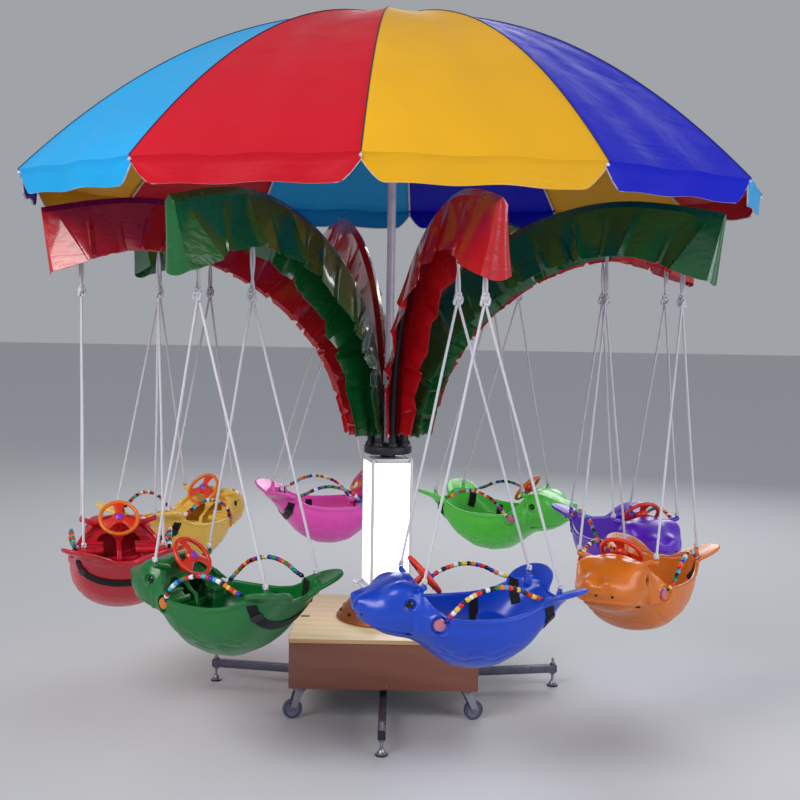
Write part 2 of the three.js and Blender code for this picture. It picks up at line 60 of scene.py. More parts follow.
# Up an arm: radius and height
ARM_LINE = [
    (70, 985), (72, 1120), (100, 1300), (165, 1470), (270, 1620), (410, 1735),
    (590, 1835), (780, 1895), (950, 1914), (1130, 1900), (1285, 1872),
]
ARM_AZIMUTHS = [ARM_PHASE + ARM_STEP * number for number in range(8)]
CANOPY_PHASE, CANOPY_STEP = -3.2, 30
CANOPY_RADIUS, CANOPY_RIM, CANOPY_RISE, CANOPY_POWER = 1420, 2000, 655, 2.15
VALANCE_BOTTOM = 1912
LEG_AZIMUTHS = {"front": 0, "right": 100.6, "rear": 180, "left": 259.4}
FOOT_RADIUS = 704
AXLE_TRAIL, AXLE_HEIGHT = 28, 37.5
# For each caster: its place and the way that it trails
CASTERS = {"front_left": (-315, -315, 200), "front_right": (315, -315, 20),
           "rear_right": (315, 315, 70), "rear_left": (-315, 315, 160)}

# Azimuths for spun(): the first leaves a part where it is drawn, the rest are quarter turns
FOUR_SIDES = (90, 180, 270, 360)


def rgb(code):
    """A hex colour as the shader wants it."""
    parts = [(code >> shift & 255) / 255 for shift in (16, 8, 0)]
    return tuple(c / 12.92 if c <= 0.04045 else ((c + 0.055) / 1.055) ** 2.4 for c in parts) + (1.0,)


def shade(colour, share):
    return tuple(min(1.0, c * share) for c in colour[:3]) + (1.0,)


def to(x, y=0.0, z=0.0):
    return Matrix.Translation((x, y, z))


def turned(axis, degrees):
    return Matrix.Rotation(math.radians(degrees), 4, axis)


def aimed(direction):
    """Turns the upright axis towards a direction."""
    return Vector((0, 0, 1)).rotation_difference(Vector(direction)).to_matrix().to_4x4()


def polar(azimuth, radius, z=0.0):
    """A place round the mast: azimuth 0 is the front, and 90 the right."""
    a = math.radians(azimuth)
    return Vector((radius * math.sin(a), -radius * math.cos(a), z))


# Camera and light

scene = bpy.context.scene
camera = bpy.data.objects.new("camera", bpy.data.cameras.new("camera"))
scene.collection.objects.link(camera)
scene.camera = camera
camera.data.lens = 58.275
camera.data.sensor_width = 36
camera.data.clip_end = 60
YAW, PITCH, ROLL = 0.084, -4.9, 0.99
camera.matrix_world = (
    to(0.0372, -5.087, 1.618) @ turned("Z", -YAW) @ turned("X", 90 + PITCH) @ turned("Z", ROLL)
)


def lamp(name, place, target, size, power, colour=(1, 1, 1)):
    light = bpy.data.lights.new(name, "AREA")
    light.shape = "RECTANGLE"
    light.size, light.size_y = size
    light.energy = power
    light.color = colour
    item = bpy.data.objects.new(name, light)
    scene.collection.objects.link(item)
    item.location = place
    item.rotation_euler = (Vector(target) - Vector(place)).to_track_quat("-Z", "Y").to_euler()


lamp("key", (-3.2, -4.2, 4.4), (0, 0, 1.2), (3.0, 3.0), 205, (1, 0.98, 0.95))
lamp("fill", (4.4, -3.4, 2.2), (0, 0, 1.0), (3.5, 2.5), 90, (0.95, 0.97, 1))
lamp("back", (1.5, 4.8, 3.6), (0, 0, 1.3), (4.0, 2.5), 120)
scene.world = bpy.data.worlds.new("studio")
scene.world.use_nodes = True
sky = scene.world.node_tree.nodes["Background"].inputs
sky["Color"].default_value = (0.80, 0.83, 0.88, 1)
sky["Strength"].default_value = 0.44
scene.view_settings.view_transform = "Standard"


# Materials


class Surface:
    """A procedural material: what is the same all over is set on the shader's own sockets."""

    def __init__(self, name, **values):
        self.material = bpy.data.materials.new(name)
        self.material.use_nodes = True
        self.tree = self.material.node_tree
        self.shader = self.tree.nodes["Principled BSDF"]
        for key, value in values.items():
            self.shader.inputs[key.replace("_", " ")].default_value = value
        place = self.tree.nodes.new("ShaderNodeTexCoord")
        self.object, self.uv = place.outputs["Object"], place.outputs["UV"]
        self.normal = None

    def put(self, socket, value):
        if isinstance(value, bpy.types.NodeSocket):
            self.tree.links.new(value, socket)
        else:
            socket.default_value = value

    def node(self, kind, inputs, **settings):
        made = self.tree.nodes.new("ShaderNode" + kind)
        for key, value in settings.items():
            setattr(made, key, value)
        for key, value in inputs.items():
            self.put(made.inputs[key], value)
        return made

    def mapped(self, scale, source=None):
        return self.node("Mapping", {"Vector": source or self.object, "Scale": scale}).outputs[0]

    def noise(self, scale, detail=3.0, source=None, distortion=0.0, roughness=0.5):
        inputs = {"Vector": source or self.object, "Scale": scale, "Detail": detail,
                  "Roughness": roughness, "Distortion": distortion}
        return self.node("TexNoise", inputs).outputs[0]

    def wave(self, scale, direction="X", source=None, distortion=0.0, detail=1.0):
        inputs = {"Vector": source or self.object, "Scale": scale, "Distortion": distortion, "Detail": detail}
        return self.node("TexWave", inputs, bands_direction=direction).outputs["Fac"]

    def spread(self, value, low, high, start=0.0, end=1.0):
        inputs = {"Value": value, "From Min": start, "From Max": end, "To Min": low, "To Max": high}
        return self.node("MapRange", inputs).outputs[0]

    def combine(self, operation, a, b):
        return self.node("Math", {0: a, 1: b}, operation=operation).outputs[0]

    def mix(self, share, a, b):
        return self.node("Mix", {0: share, 6: a, 7: b}, data_type="RGBA").outputs[2]

    def colour(self, value):
        self.put(self.shader.inputs["Base Color"], value)

    def tint(self, share, code, low, high):
        """Two shades of a hex colour, mixed by share."""
        self.colour(self.mix(share, shade(rgb(code), low), shade(rgb(code), high)))

    def rough(self, value, low, high):
        self.put(self.shader.inputs["Roughness"], self.spread(value, low, high))

    def bump(self, height, strength, distance):
        made = self.node("Bump", {"Height": height, "Strength": strength, "Distance": distance})
        if self.normal is not None:
            self.tree.links.new(self.normal, made.inputs["Normal"])
        self.normal = made.outputs[0]
        self.tree.links.new(self.normal, self.shader.inputs["Normal"])

    def weave(self, threads, strength, distance):
        crossed = self.combine("MULTIPLY", self.wave(threads, "X"), self.wave(threads, "Z"))
        self.bump(crossed, strength, distance)


def moulded(name, code, gloss=0.24):
    """Rotation-moulded plastic: a soft skin, faint colour clouds, orange peel and fine scuffs."""
    made = Surface(name, Coat_Weight=0.2, Coat_Roughness=0.16, Subsurface_Weight=0.05,
                   Subsurface_Radius=(0.02, 0.012, 0.008), Subsurface_Scale=0.25, Specular_IOR_Level=0.5)
    made.tint(made.noise(7, 4), code, 0.80, 1.12)
    scuffs = made.noise(1, 6, made.mapped((30, 90, 240)), roughness=0.75)
    made.rough(made.combine("MULTIPLY", scuffs, made.noise(24, 4)), gloss - 0.06, gloss + 0.5)
    made.bump(made.noise(9, 2), 0.08, 0.004)
    made.bump(made.noise(420, 2), 0.10, 0.0006)
    return made.material


def coated_cloth(name, code, gloss=0.38):
    """Coated woven polyester: a fine plain weave under the coat, soft creases and slow colour drift."""
    made = Surface(name, Specular_IOR_Level=0.22)
    made.tint(made.noise(1.6, 5, distortion=0.6), code, 0.84, 1.12)
    made.rough(made.noise(9, 5), gloss - 0.12, gloss + 0.22)
    made.bump(made.noise(3.2, 5, made.mapped((1, 1, 2.4)), 1.4), 0.34, 0.015)
    made.bump(made.noise(38, 3), 0.12, 0.003)
    made.weave(260, 0.18, 0.0004)
    return made.material


def glossy_film(name, code):
    """Coated leaf cloth: a wet-looking skin with long drawn creases."""
    made = Surface(name, Coat_Weight=0.9, Coat_Roughness=0.07)
    made.tint(made.noise(4, 5, distortion=1.0), code, 0.66, 1.22)
    made.rough(made.noise(11, 4), 0.16, 0.42)
    made.bump(made.noise(9, 4, made.mapped((1, 1, 2.2)), 1.2), 0.5, 0.012)
    made.bump(made.noise(60, 3), 0.22, 0.0022)
    made.weave(300, 0.1, 0.0003)
    return made.material


def painted_metal(name, code, metallic, gloss, wear):
    """Powder-coated or plain metal: orange peel, dust in the hollows, dull patches."""
    made = Surface(name, Metallic=metallic, Specular_IOR_Level=0.5)
    dust = made.noise(13, 6, roughness=0.65)
    made.tint(made.spread(dust, 0, 1, 0.35, 0.75), code, 0.85, 1 + wear * 0.5)
    made.rough(made.noise(34, 5), gloss - 0.1, gloss + 0.22)
    made.bump(made.noise(300, 2), 0.08, 0.0005)
    made.bump(made.noise(20, 5), 0.07, 0.002)
    return made.material


def wood_board(name, light, dark, grain, stretch=(1, 9, 9)):
    """Veneered board: growth lines along the board, pores and a satin varnish."""
    made = Surface(name, Coat_Weight=0.35, Coat_Roughness=0.22)
    stretched = made.mapped(stretch)
    rings = made.wave(0.9, "DIAGONAL", stretched, 7.0, 3.0)
    pores = made.noise(36, 5, stretched, roughness=0.7)
    base = made.mix(made.spread(rings, 0, grain), rgb(light), rgb(dark))
    made.colour(made.mix(made.spread(pores, 0, 0.45 * grain, 0.45, 0.72), base, shade(rgb(dark), 0.55)))
    made.rough(pores, 0.26, 0.5)
    made.bump(pores, 0.12, 0.0006)
    made.bump(rings, 0.05, 0.0008)
    return made.material


def braid(name, code):
    """Braided cord: crossing strands by the tube's own UV, with fuzz; the colour is darker between the
    strands as painted shade.
    """
    made = Surface(name, Roughness=0.8, Sheen_Weight=0.5, Sheen_Roughness=0.5, Sheen_Tint=(0.9, 0.9, 1, 1))
    right, left = (made.wave(0.5, "DIAGONAL", made.mapped((way, 420, 0), made.uv)) for way in (1, -1))
    strands = made.combine("MAXIMUM", right, left)
    # Painted shade: the colour darkens in the grooves between strands, and also varies by noise.
    made.tint(made.combine("MULTIPLY", strands, made.noise(30, 4)), code, 0.84, 1.08)
    made.bump(strands, 0.7, 0.0012)
    made.bump(made.noise(900, 3), 0.3, 0.0005)
    return made.material


def webbing(name, code):
    """Woven strap: ribs across and rows of stitches, by the strap's UV in metres; the colour follows the ribs
    as painted shade and highlight.
    """
    made = Surface(name, Sheen_Weight=0.1, Sheen_Roughness=0.4, Specular_IOR_Level=0.3)
    ribs = made.wave(95, "Y", made.uv)
    # Colour darker in the grooves between ribs (painted shade) and lighter on their crests (painted
    # highlight), also varied by noise.
    made.tint(made.combine("MULTIPLY", ribs, made.noise(60, 4)), code, 0.5, 1.3)
    made.rough(made.noise(120, 3), 0.5, 0.8)
    made.bump(ribs, 0.5, 0.0008)
    made.bump(made.wave(60, "X", made.uv), 0.3, 0.0006)
    return made.material


def glow(name, strength):
    """Opal panel lit from behind by upright tubes."""
    made = Surface(name, Roughness=0.3, Base_Color=(0.9, 0.9, 1, 1), Emission_Strength=strength)
    tubes, across = (made.wave(2.9, axis, made.mapped((1, 1, 0))) for axis in "XY")
    lines = made.spread(made.combine("MULTIPLY", tubes, across), 0, 1, 0.06, 0.34)
    share = made.combine("ADD", lines, made.spread(made.noise(5, 3), 0.0, 0.25))
    lit = made.mix(share, (0.52, 0.52, 0.86, 1), (1.0, 1.0, 1.08, 1))
    made.put(made.shader.inputs["Emission Color"], lit)
    made.bump(made.noise(260, 2), 0.05, 0.0004)
    return made.material


SEAT_COLOURS = {
    "blue": 0x0B46CC, "orange": 0xE27618, "purple": 0x6424D0, "light_green": 0x5CE44C,
    "pink": 0xF858C6, "yellow": 0xFACC54, "red": 0xCC0E2A, "green": 0x06702E,
}
CANOPY_COLOURS = {"yellow": 0xF2B41C, "blue": 0x0814CC, "cyan": 0x1AA8EC, "red": 0xCC0A24}
BEAD_COLOURS = {
    "red": 0xD81820, "black": 0x101014, "yellow": 0xF0CC30, "blue": 0x1830C0,
    "white": 0xECECF4, "green": 0x148C3C, "orange": 0xF07818, "cyan": 0x30B4D8,
}
PLASTIC = {name: moulded("plastic_" + name, code) for name, code in SEAT_COLOURS.items()}
BEADS = [moulded("bead_" + name, code, 0.2) for name, code in BEAD_COLOURS.items()]
CANOPY = [coated_cloth("cloth_" + name, code) for name, code in CANOPY_COLOURS.items()]
LEAVES = {"leaf_red": glossy_film("leaf_red", 0xCC1420), "leaf_green": glossy_film("leaf_green", 0x06652C)}
PIPING = coated_cloth("piping_white", 0xDCDCE6, 0.5)
SEAM = coated_cloth("seam_navy", 0x30304C, 0.5)
ROPE = braid("rope_white", 0xE8E6F0)
STRAP = webbing("strap_black", 0x0C0C10)
BLACK = painted_metal("black_paint", 0x141418, 0.2, 0.38, 1.2)
ZINC = painted_metal("zinc_plate", 0xA8A8B4, 0.9, 0.28, 0.2)
BOLT = painted_metal("bolt_steel", 0x8C8C98, 0.95, 0.22, 0.2)
DARK_BOLT = painted_metal("bolt_black", 0x202024, 0.6, 0.3, 0.8)
# Leg paint: the legs' grey, made lighter and bluer as painted coloured light.
LEG_PAINT = painted_metal("leg_paint", 0x5C5C70, 0.5, 0.24, 0.5)
ARM_PAINT = painted_metal("arm_paint", 0x34343C, 0.5, 0.4, 0.6)
RIB_STEEL = painted_metal("rib_enamel", 0xCFCFD8, 0.35, 0.32, 0.2)
# Pole enamel: white, with a faint violet tint that is painted reflection of coloured light.
POLE_PAINT = painted_metal("pole_enamel", 0xEAE6F8, 0.1, 0.28, 0.2)
WHITE_PAINT = painted_metal("white_enamel", 0xE4E4EE, 0.1, 0.3, 0.1)
COPPER = painted_metal("copper_paint", 0x9A5628, 0.55, 0.3, 0.5)
WOOD_TOP = wood_board("wood_top", 0xF0DCAC, 0xDDBE84, 0.4)
WOOD_SIDE = wood_board("wood_side", 0x8C5340, 0x713C2E, 0.3)
WOOD_SIDE_Y = wood_board("wood_side_y", 0x8C5340, 0x713C2E, 0.3, (9, 1, 9))
EDGE_BAND = wood_board("edge_band", 0xD8B080, 0xBC8E5C, 0.6)
RUBBER = moulded("rubber_black", 0x161618, 0.5)
TREAD = moulded("caster_tread", 0x4C4A66, 0.3)
HUB_PLASTIC = moulded("caster_hub", 0x7C7A98, 0.3)
EYE_BLACK = moulded("eye_black", 0x08080A, 0.12)
GLOW = glow("opal_light", 3.2)
WHEEL_ORANGE = moulded("wheel_orange", 0xF07A14)
WHEEL_RED = moulded("wheel_red", 0xE8381C)
HUB_VIOLET = moulded("wheel_hub", 0x9A3CC8)
PLUG_PINK = moulded("plug_pink", 0xC87890)


# Mesh helpers: a part is (points, faces, material) in millimetres, with uvs for each corner or without


def make(name, parts, body=None, node=None, matrix=None, smooth=35):
    """One object from parts."""
    vertices, faces, slots, materials, uvs = [], [], [], [], []
    for points, polygons, material, *given in parts:
        start = len(vertices)
        vertices += [Vector(p) * MM for p in points]
        faces += [tuple(start + i for i in face) for face in polygons]
        if material not in materials:
            materials.append(material)
        slots += [materials.index(material)] * len(polygons)
        uvs += given[0] if given else [(0.0, 0.0)] * sum(map(len, polygons))
    mesh = bpy.data.meshes.new(name)
    mesh.from_pydata(vertices, [], faces)
    for material in materials:
        mesh.materials.append(material)
    mesh.polygons.foreach_set("material_index", slots)
    mesh.uv_layers.new(name="UVMap").data.foreach_set("uv", np.array(uvs, np.float32).ravel())
    mesh.update()
    return show(name, mesh, body, node, matrix, smooth)


def show(name, mesh, body, node=None, matrix=None, smooth=35):
    """Puts a mesh on a body, in place of a CAD node, with edges sharper than smooth left sharp."""
    if smooth:
        mesh.polygons.foreach_set("use_smooth", [True] * len(mesh.polygons))
        mesh.set_sharp_from_angle(angle=math.radians(smooth))
    item = bpy.data.objects.new(name, mesh)
    scene.collection.objects.link(item)
    if matrix is not None:
        placed = matrix.copy()
        placed.translation *= MM
        item.matrix_world = placed
    if body:
        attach(item, body)
    if node:
        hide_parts(node)
    return item


def applied(mesh, **modifiers):
    """A copy of a mesh with modifiers applied, each given as its kind and settings."""
    work = bpy.data.objects.new("work", mesh)
    scene.collection.objects.link(work)
    for kind, settings in modifiers.items():
        modifier = work.modifiers.new(kind, kind)
        for key, value in settings.items():
            setattr(modifier, key, value)
    bpy.context.view_layer.update()
    done = bpy.data.meshes.new_from_object(work.evaluated_get(bpy.context.evaluated_depsgraph_get()))
    bpy.data.objects.remove(work)
    return done


def moved(part, matrix):
    return ([matrix @ Vector(p) for p in part[0]], *part[1:])


def arm_matrix(azimuth):
    """From an upright plane (outward, sideways, up) to the ride."""
    return turned("Z", azimuth - 90)


def circle(count):
    """Evenly spaced angles round a full turn."""
    return [2 * math.pi * n / count for n in range(count)]


def helix(radius, start, turns, low, high, steps):
    """Points on a screw line from the height low to high."""
    line = []
    for n in range(steps + 1):
        a = 2 * math.pi * (start + turns * n / steps)
        line.append((radius * math.cos(a), radius * math.sin(a), low + (high - low) * n / steps))
    return line


def spun(parts, azimuths):
    """Copies of parts, drawn in an arm's plane, at each azimuth."""
    return [moved(part, arm_matrix(azimuth)) for azimuth in azimuths for part in parts]


def grid_faces(rows, columns, closed_rows=False, closed_columns=False):
    """Quads of a grid whose points run row by row."""
    faces = []
    for i in range(rows if closed_rows else rows - 1):
        for j in range(columns if closed_columns else columns - 1):
            low, high = i * columns, (i + 1) % rows * columns
            after = (j + 1) % columns
            faces.append((low + j, low + after, high + after, high + j))
    return faces


def loft(sections, material, closed=False):
    """A body through rings of points, which runs back into itself or has two end faces."""
    rows, sides = len(sections), len(sections[0])
    faces = grid_faces(rows, sides, closed, True)
    if not closed:
        faces += [tuple(reversed(range(sides))), tuple(range((rows - 1) * sides, rows * sides))]
    return [p for section in sections for p in section], faces, material


def tube(path, radius, material, sides=8, closed=False):
    """A round tube along points; radius is one number or one for each. UV: turns round, metres along."""
    path = [Vector(p) for p in path]
    count = len(path)
    radii = radius if hasattr(radius, "__len__") else [radius] * count
    tangents = []
    for i in range(count):
        before = path[i - 1] if closed or i else path[0]
        after = path[(i + 1) % count] if closed or i < count - 1 else path[i]
        tangents.append((after - before).normalized())
    side = tangents[0].orthogonal().normalized()
    sections, lengths, run = [], [], 0.0
    for i, (point, tangent) in enumerate(zip(path, tangents)):
        if i:
            side = (tangents[i - 1].rotation_difference(tangent) @ side).normalized()
            run += (point - path[i - 1]).length
        lengths.append(run * MM)
        other = tangent.cross(side)
        section = [side * math.cos(a) + other * math.sin(a) for a in circle(sides)]
        sections.append([point + spoke * radii[i] for spoke in section])
    lengths.append((run + (path[0] - path[-1]).length) * MM)
    uvs = []
    for i, j in itertools.product(range(count if closed else count - 1), range(sides)):
        for turn, along in ((j, i), (j + 1, i), (j + 1, i + 1), (j, i + 1)):
            uvs.append((turn / sides, lengths[along]))
    if not closed:
        uvs += [(0.0, 0.0)] * (2 * sides)
    return *loft(sections, material, closed), uvs


def lathe(profile, material, segments=48, place=(0, 0, 0)):
    """A body turned about an upright axis; a radius of 0 closes the end."""
    points, rows = [], []
    for r, z in profile:
        count = segments if r else 1
        rows.append([len(points) + j % count for j in range(segments)])
        for j in range(count):
            a = 2 * math.pi * j / segments
            points.append(Vector(place) + Vector((r * math.cos(a), r * math.sin(a), z)))
    faces = []
    for low, high in zip(rows, rows[1:]):
        for j in range(segments):
            k = (j + 1) % segments
            face = tuple(dict.fromkeys((low[j], low[k], high[k], high[j])))
            if len(face) > 2:
                faces.append(face)
    return points, faces, material


def block(size, centre, material, bevel=2.0, steps=2, turn=None):
    """A box with rounded edges."""
    work = bmesh.new()
    bmesh.ops.create_cube(work, size=1.0)
    bmesh.ops.scale(work, vec=Vector(size) * MM, verts=work.verts)
    bmesh.ops.bevel(work, geom=list(work.edges), offset=bevel * MM, segments=steps, affect="EDGES",
                    profile=0.5)
    work.verts.index_update()
    points = [v.co / MM for v in work.verts]
    faces = [tuple(v.index for v in f.verts) for f in work.faces]
    work.free()
    return moved((points, faces, material), to(*centre) @ (turn or Matrix.Identity(4)))


def bolt(place, axis, radius, material, height=None, washer=True):
    """A hexagon bolt head on a washer, standing along axis."""
    height = height or radius * 0.8
    base = radius * 0.22 * washer
    shoulder, top = base + height * 0.75, base + height
    outline = [(0, base), (radius, base), (radius, shoulder), (radius * 0.82, top), (0, top)]
    parts = [lathe(outline, material, 6)]
    if washer:
        parts.append(lathe([(0, 0), (radius * 1.5, 0), (radius * 1.5, base), (0, base)], material, 16))
    return [moved(part, to(*place) @ aimed(axis)) for part in parts]


def run_along(line):
    """The length of a line up to each of its points."""
    return np.concatenate([[0], np.cumsum(np.linalg.norm(np.diff(line, axis=0), axis=1))])


def spline(points, count):
    """Catmull-Rom through points, evenly spaced by length."""
    points = [np.array(p, float) for p in points]
    points = [2 * points[0] - points[1], *points, 2 * points[-1] - points[-2]]
    dense = []
    for a, b, c, d in zip(points, points[1:], points[2:], points[3:]):
        for t in np.linspace(0, 1, 24, endpoint=False):
            square = (2 * a - 5 * b + 4 * c - d) * t * t
            dense.append(0.5 * ((2 * b) + (c - a) * t + square + (3 * b - a - 3 * c + d) * t ** 3))
    dense = np.array([*dense, points[-2]])
    run = run_along(dense)
    at = np.linspace(0, run[-1], count)
    return np.stack([np.interp(at, run, dense[:, k]) for k in range(3)], 1)


# Seats: one moulded shell, from a distance field


# For each station forward: half width, rim and keel of the hull
SEAT_HULL = np.array([
    (-308, 92, 634, 634), (-290, 118, 640, 612), (-262, 142, 646, 572), (-225, 160, 646, 524),
    (-190, 170, 632, 480), (-150, 178, 614, 446), (-85, 187, 602, 416), (-10, 187, 600, 410),
    (60, 180, 602, 424), (110, 166, 606, 458), (150, 148, 610, 496), (190, 130, 614, 518),
    (225, 112, 616, 534), (252, 84, 618, 554), (268, 50, 620, 578),
], float)
# For each station forward: half width, top and chin of the head
SEAT_HEAD = np.array([
    (146, 100, 702, 540), (185, 122, 716, 526), (230, 126, 715, 527), (275, 114, 699, 539),
    (315, 94, 678, 562), (345, 69, 660, 588), (360, 45, 648, 604), (368, 10, 636, 620),
], float)
# For each height: where the hood's rear edge stands
HOOD_EDGE = np.array([
    (560, 76), (591, 85), (604, 108), (636, 140), (678, 165), (716, 184), (760, 196),
], float)
# The low corner of the box that a seat's field fills
SEAT_LOW = (-372, -232, 396)


def table(stations, column, x, blur=9):
    """A column of a table of stations, smoothed along its length and read at x."""
    ticks = np.arange(stations[0, 0], stations[-1, 0] + 0.5, 1.0)
    values = np.interp(ticks, stations[:, 0], stations[:, column])
    kernel = np.exp(-0.5 * (np.arange(-3 * blur, 3 * blur + 1) / blur) ** 2)
    padded = np.pad(values, 3 * blur, mode="edge")
    return np.interp(x, ticks, np.convolve(padded, kernel / kernel.sum(), "valid"))


def metric(field, step):
    """A field divided by its slope, so that its value is about a distance."""
    slope = np.sqrt(sum(g * g for g in np.gradient(field, step)))
    return field / np.maximum(slope, 1e-4)


def blend_in(a, b, size):
    """Smooth union of two distance fields."""
    h = np.clip(0.5 + 0.5 * (b - a) / size, 0, 1)
    return b + (a - b) * h - size * h * (1 - h)


def overlap(*fields):
    return reduce(np.maximum, fields)


def ring(a, b, radius=0.0):
    """A round bead where the fields a and b are both zero."""
    return np.sqrt(a ** 2 + b ** 2) - radius


def capsule(point, a, b, radius):
    a, b = np.array(a, float), np.array(b, float)
    ab = b - a
    share = sum((p - o) * d for p, o, d in zip(point, a, ab)) / float(ab @ ab)
    share = np.clip(share, 0, 1)
    return np.sqrt(sum((p - o - d * share) ** 2 for p, o, d in zip(point, a, ab))) - radius


def surface_nets(field, origin, step):
    """Vertices and quads of the surface where a field is zero."""
    inside = field < 0
    corners = sum(inside[i:i - 1 or None, j:j - 1 or None, k:k - 1 or None].astype(np.int8)
                  for i, j, k in itertools.product((0, 1), repeat=3))
    active = (corners > 0) & (corners < 8)
    index = np.full(active.shape, -1, np.int64)
    index[active] = np.arange(active.sum())
    cell = np.stack(np.nonzero(active), 1)
    total, count = np.zeros((len(cell), 3)), np.zeros(len(cell))
    for axis, u, v in itertools.product(range(3), (0, 1), (0, 1)):
        a, b = (np.insert(np.array([u, v]), axis, end) for end in (0, 1))
        fa, fb = field[tuple((cell + a).T)], field[tuple((cell + b).T)]
        cut = (fa < 0) != (fb < 0)
        share = fa[cut] / (fa[cut] - fb[cut])
        total[cut] += a + share[:, None] * (b - a)
        count[cut] += 1
    vertices = origin + step * (cell + total / count[:, None])
    quads = []
    for axis in range(3):
        first, second = (row for n, row in enumerate(np.eye(3, dtype=int)) if n != axis)
        inner = tuple(slice(None) if n == axis else slice(1, -1) for n in range(3))
        at = np.stack(np.nonzero(np.diff(inside, axis=axis)[inner]), 1) + first + second
        around = (first + second, second, 0 * first, first)
        face = np.stack([index[tuple((at - shift).T)] for shift in around], 1)
        back = inside[tuple(at.T)] ^ (axis == 1)
        face[~back] = face[~back][:, ::-1]
        quads.append(face)
    return vertices, np.concatenate(quads)


def seat_field(step):
    """The moulded shell of one seat, in millimetres (forward, outward, up) from SEAT_LOW."""
    spans = zip(SEAT_LOW, (392, 232 + step, 752))
    t, s, z = np.ix_(*(np.arange(low, high, step, dtype=np.float32) for low, high in spans))
    side = np.abs(s)
    beside = 60 - side

    # The bowl with two moulded wavy lines on its wall
    half, rim, keel = (table(SEAT_HULL, column, t) for column in (1, 2, 3))
    below = np.clip((rim - z) / np.maximum(rim - keel, 6), 0, None)
    section = metric((side / half) ** 2.15 + below ** 2.5 - 1, step)
    plain = overlap(np.where(z < rim, section, side - half), t - 272, -306 - t)
    wall = plain
    for height, swing, length, phase in ((502, 11, 20.0, 0.6), (474, 7, 15.0, 2.0)):
        line = height + swing * np.sin(t / length + phase) + 0.0006 * (t + 20) ** 2
        in_band = np.clip((165 - np.abs(t + 20)) / 40, 0, 1)
        ridge, fall = np.exp(-((z - line) / 4.5) ** 2), np.clip((line - z) / 5 + 0.5, 0, 1)
        wall = wall + in_band * (3.4 * ridge + 1.6 * fall)

    # The hood over the knees
    edge = np.interp(z, *HOOD_EDGE.T).astype(np.float32)
    hood_half = table(SEAT_HULL, 1, np.minimum(t, 178))
    rise = np.clip((z - 600) / 116, 0, None)
    hood = metric((side / hood_half) ** 2.1 + rise ** 2.1 - 1, step)
    hood = overlap(hood, t - 196, 560 - z)

    # The head, swollen at the brow and the nose, its mouth line and the crease under it
    width, high, low = (table(SEAT_HEAD, column, t, 7) for column in (1, 2, 3))
    middle, tall = (high + low) / 2, np.maximum((high - low) / 2, 4)
    head = metric((side / np.maximum(width, 4)) ** 2.3 + (np.abs(z - middle) / tall) ** 2.2 - 1, step)
    head = overlap(head, 150 - t, t - 368)
    for ahead, out, up, long, flat, radius in ((226, 82, 676, 1.4, 0.9, 37), (330, 34, 646, 1.3, 0.8, 22)):
        swell = np.sqrt(((t - ahead) / long) ** 2 + (side - out) ** 2 + ((z - up) / flat) ** 2) - radius
        head = blend_in(head, swell, 26)
    mouth = 552 + 0.17 * (t - 150)
    bead = overlap(ring(head + 1, z - mouth, 5), 156 - t)
    crease = overlap(ring(head, z - mouth + 9, 4.5), 160 - t)

    # The two lobes of the tail, each a rounded sheet that rises to the rear
    along = (t + 262) * -0.62 + (side - 118) * 0.78
    askew = (t + 262) * 0.78 + (side - 118) * 0.62
    planform = (ring(along / 110, askew / 76) - 1) * 80
    lift = 12 * np.log1p(np.exp(np.clip((along + 60) / 12, -20, 20)))
    sheet_z = 617 + 0.42 * lift + 9 * (askew / 76) ** 2
    lobe = overlap(ring(np.maximum(planform + 7, 0), z - sheet_z, 8.5), planform - 4)

    # The outside, with the rolled rim and the hood's brim
    outer = blend_in(overlap(wall, z - rim), overlap(hood, edge - t), 10)
    outer = blend_in(outer, head, 14)
    outer = blend_in(overlap(outer, -crease), bead, 4)
    solid = blend_in(outer, lobe, 20)
    rolled = overlap(ring(plain + 2, z - rim, 8), t - 96, -232 - t)
    brim = overlap(ring(hood + 3, (t - edge) * 0.87, 7), 596 - z)
    solid = blend_in(blend_in(solid, rolled, 6), brim, 5)

    # The cockpit with its bench, the hollow head, and two arches through the dashboard between them
    dash = edge + 24 + 0.05 * (716 - z)
    flare = 7 * np.clip((z - sheet_z + 26) / 34, 0, 1) ** 2 * np.clip(-planform / 12, 0, 1)
    above = np.where(z < 600, -50, np.minimum(hood + 10, t - edge))
    bench = 470 + 34 / (1 + np.exp((t + 95) / 9)) + 0.0016 * side ** 2
    room = overlap(plain + 9.5 - flare, t - dash, above, -300 - t, bench - z)
    inside = overlap(outer + 13, dash + 9 - t, t - 270)
    arch_side = np.abs(side - 47)
    arch = np.where(z < 612, arch_side - 37, ring(arch_side, z - 612, 37))
    arch = overlap(arch, 530 - z, np.abs(t - dash - 4) - 14, outer + 10)
    hollow = np.minimum(np.minimum(room, inside), arch)
    plug = ring(t - PLUG[0], z - PLUG[1])
    hollow = np.maximum(hollow, -overlap(plug - 37, -outer - 17, beside))
    notch = overlap(ring(t + 388, s, 84), 606 - z)
    solid = overlap(solid, -hollow, -notch)

    # Lugs for the ropes, and the rings and dishes of the plugs and eyes
    point = (t, side, z)
    lugs = np.minimum(capsule(point, (168, 84, 690), (FRONT_LUG[0], HOOK_SPREAD, 706), 10),
                      capsule(point, (-262, 134, 640), (REAR_LUG[0], HOOK_SPREAD, 676), 9))
    solid = blend_in(solid, lugs, 8)
    solid = blend_in(solid, overlap(ring(plug - 31, outer + 0.5, 3.5), beside), 4)
    iris = ring(t - EYE[0], z - EYE[1])
    solid = blend_in(solid, overlap(ring(iris - 22, head + 0.5, 4.2), beside), 4)
    dish = overlap(plug - 28, -outer - 8, beside)
    socket = overlap(iris - 18, -head - 5, beside)
    return np.maximum(solid, -np.minimum(socket, dish))


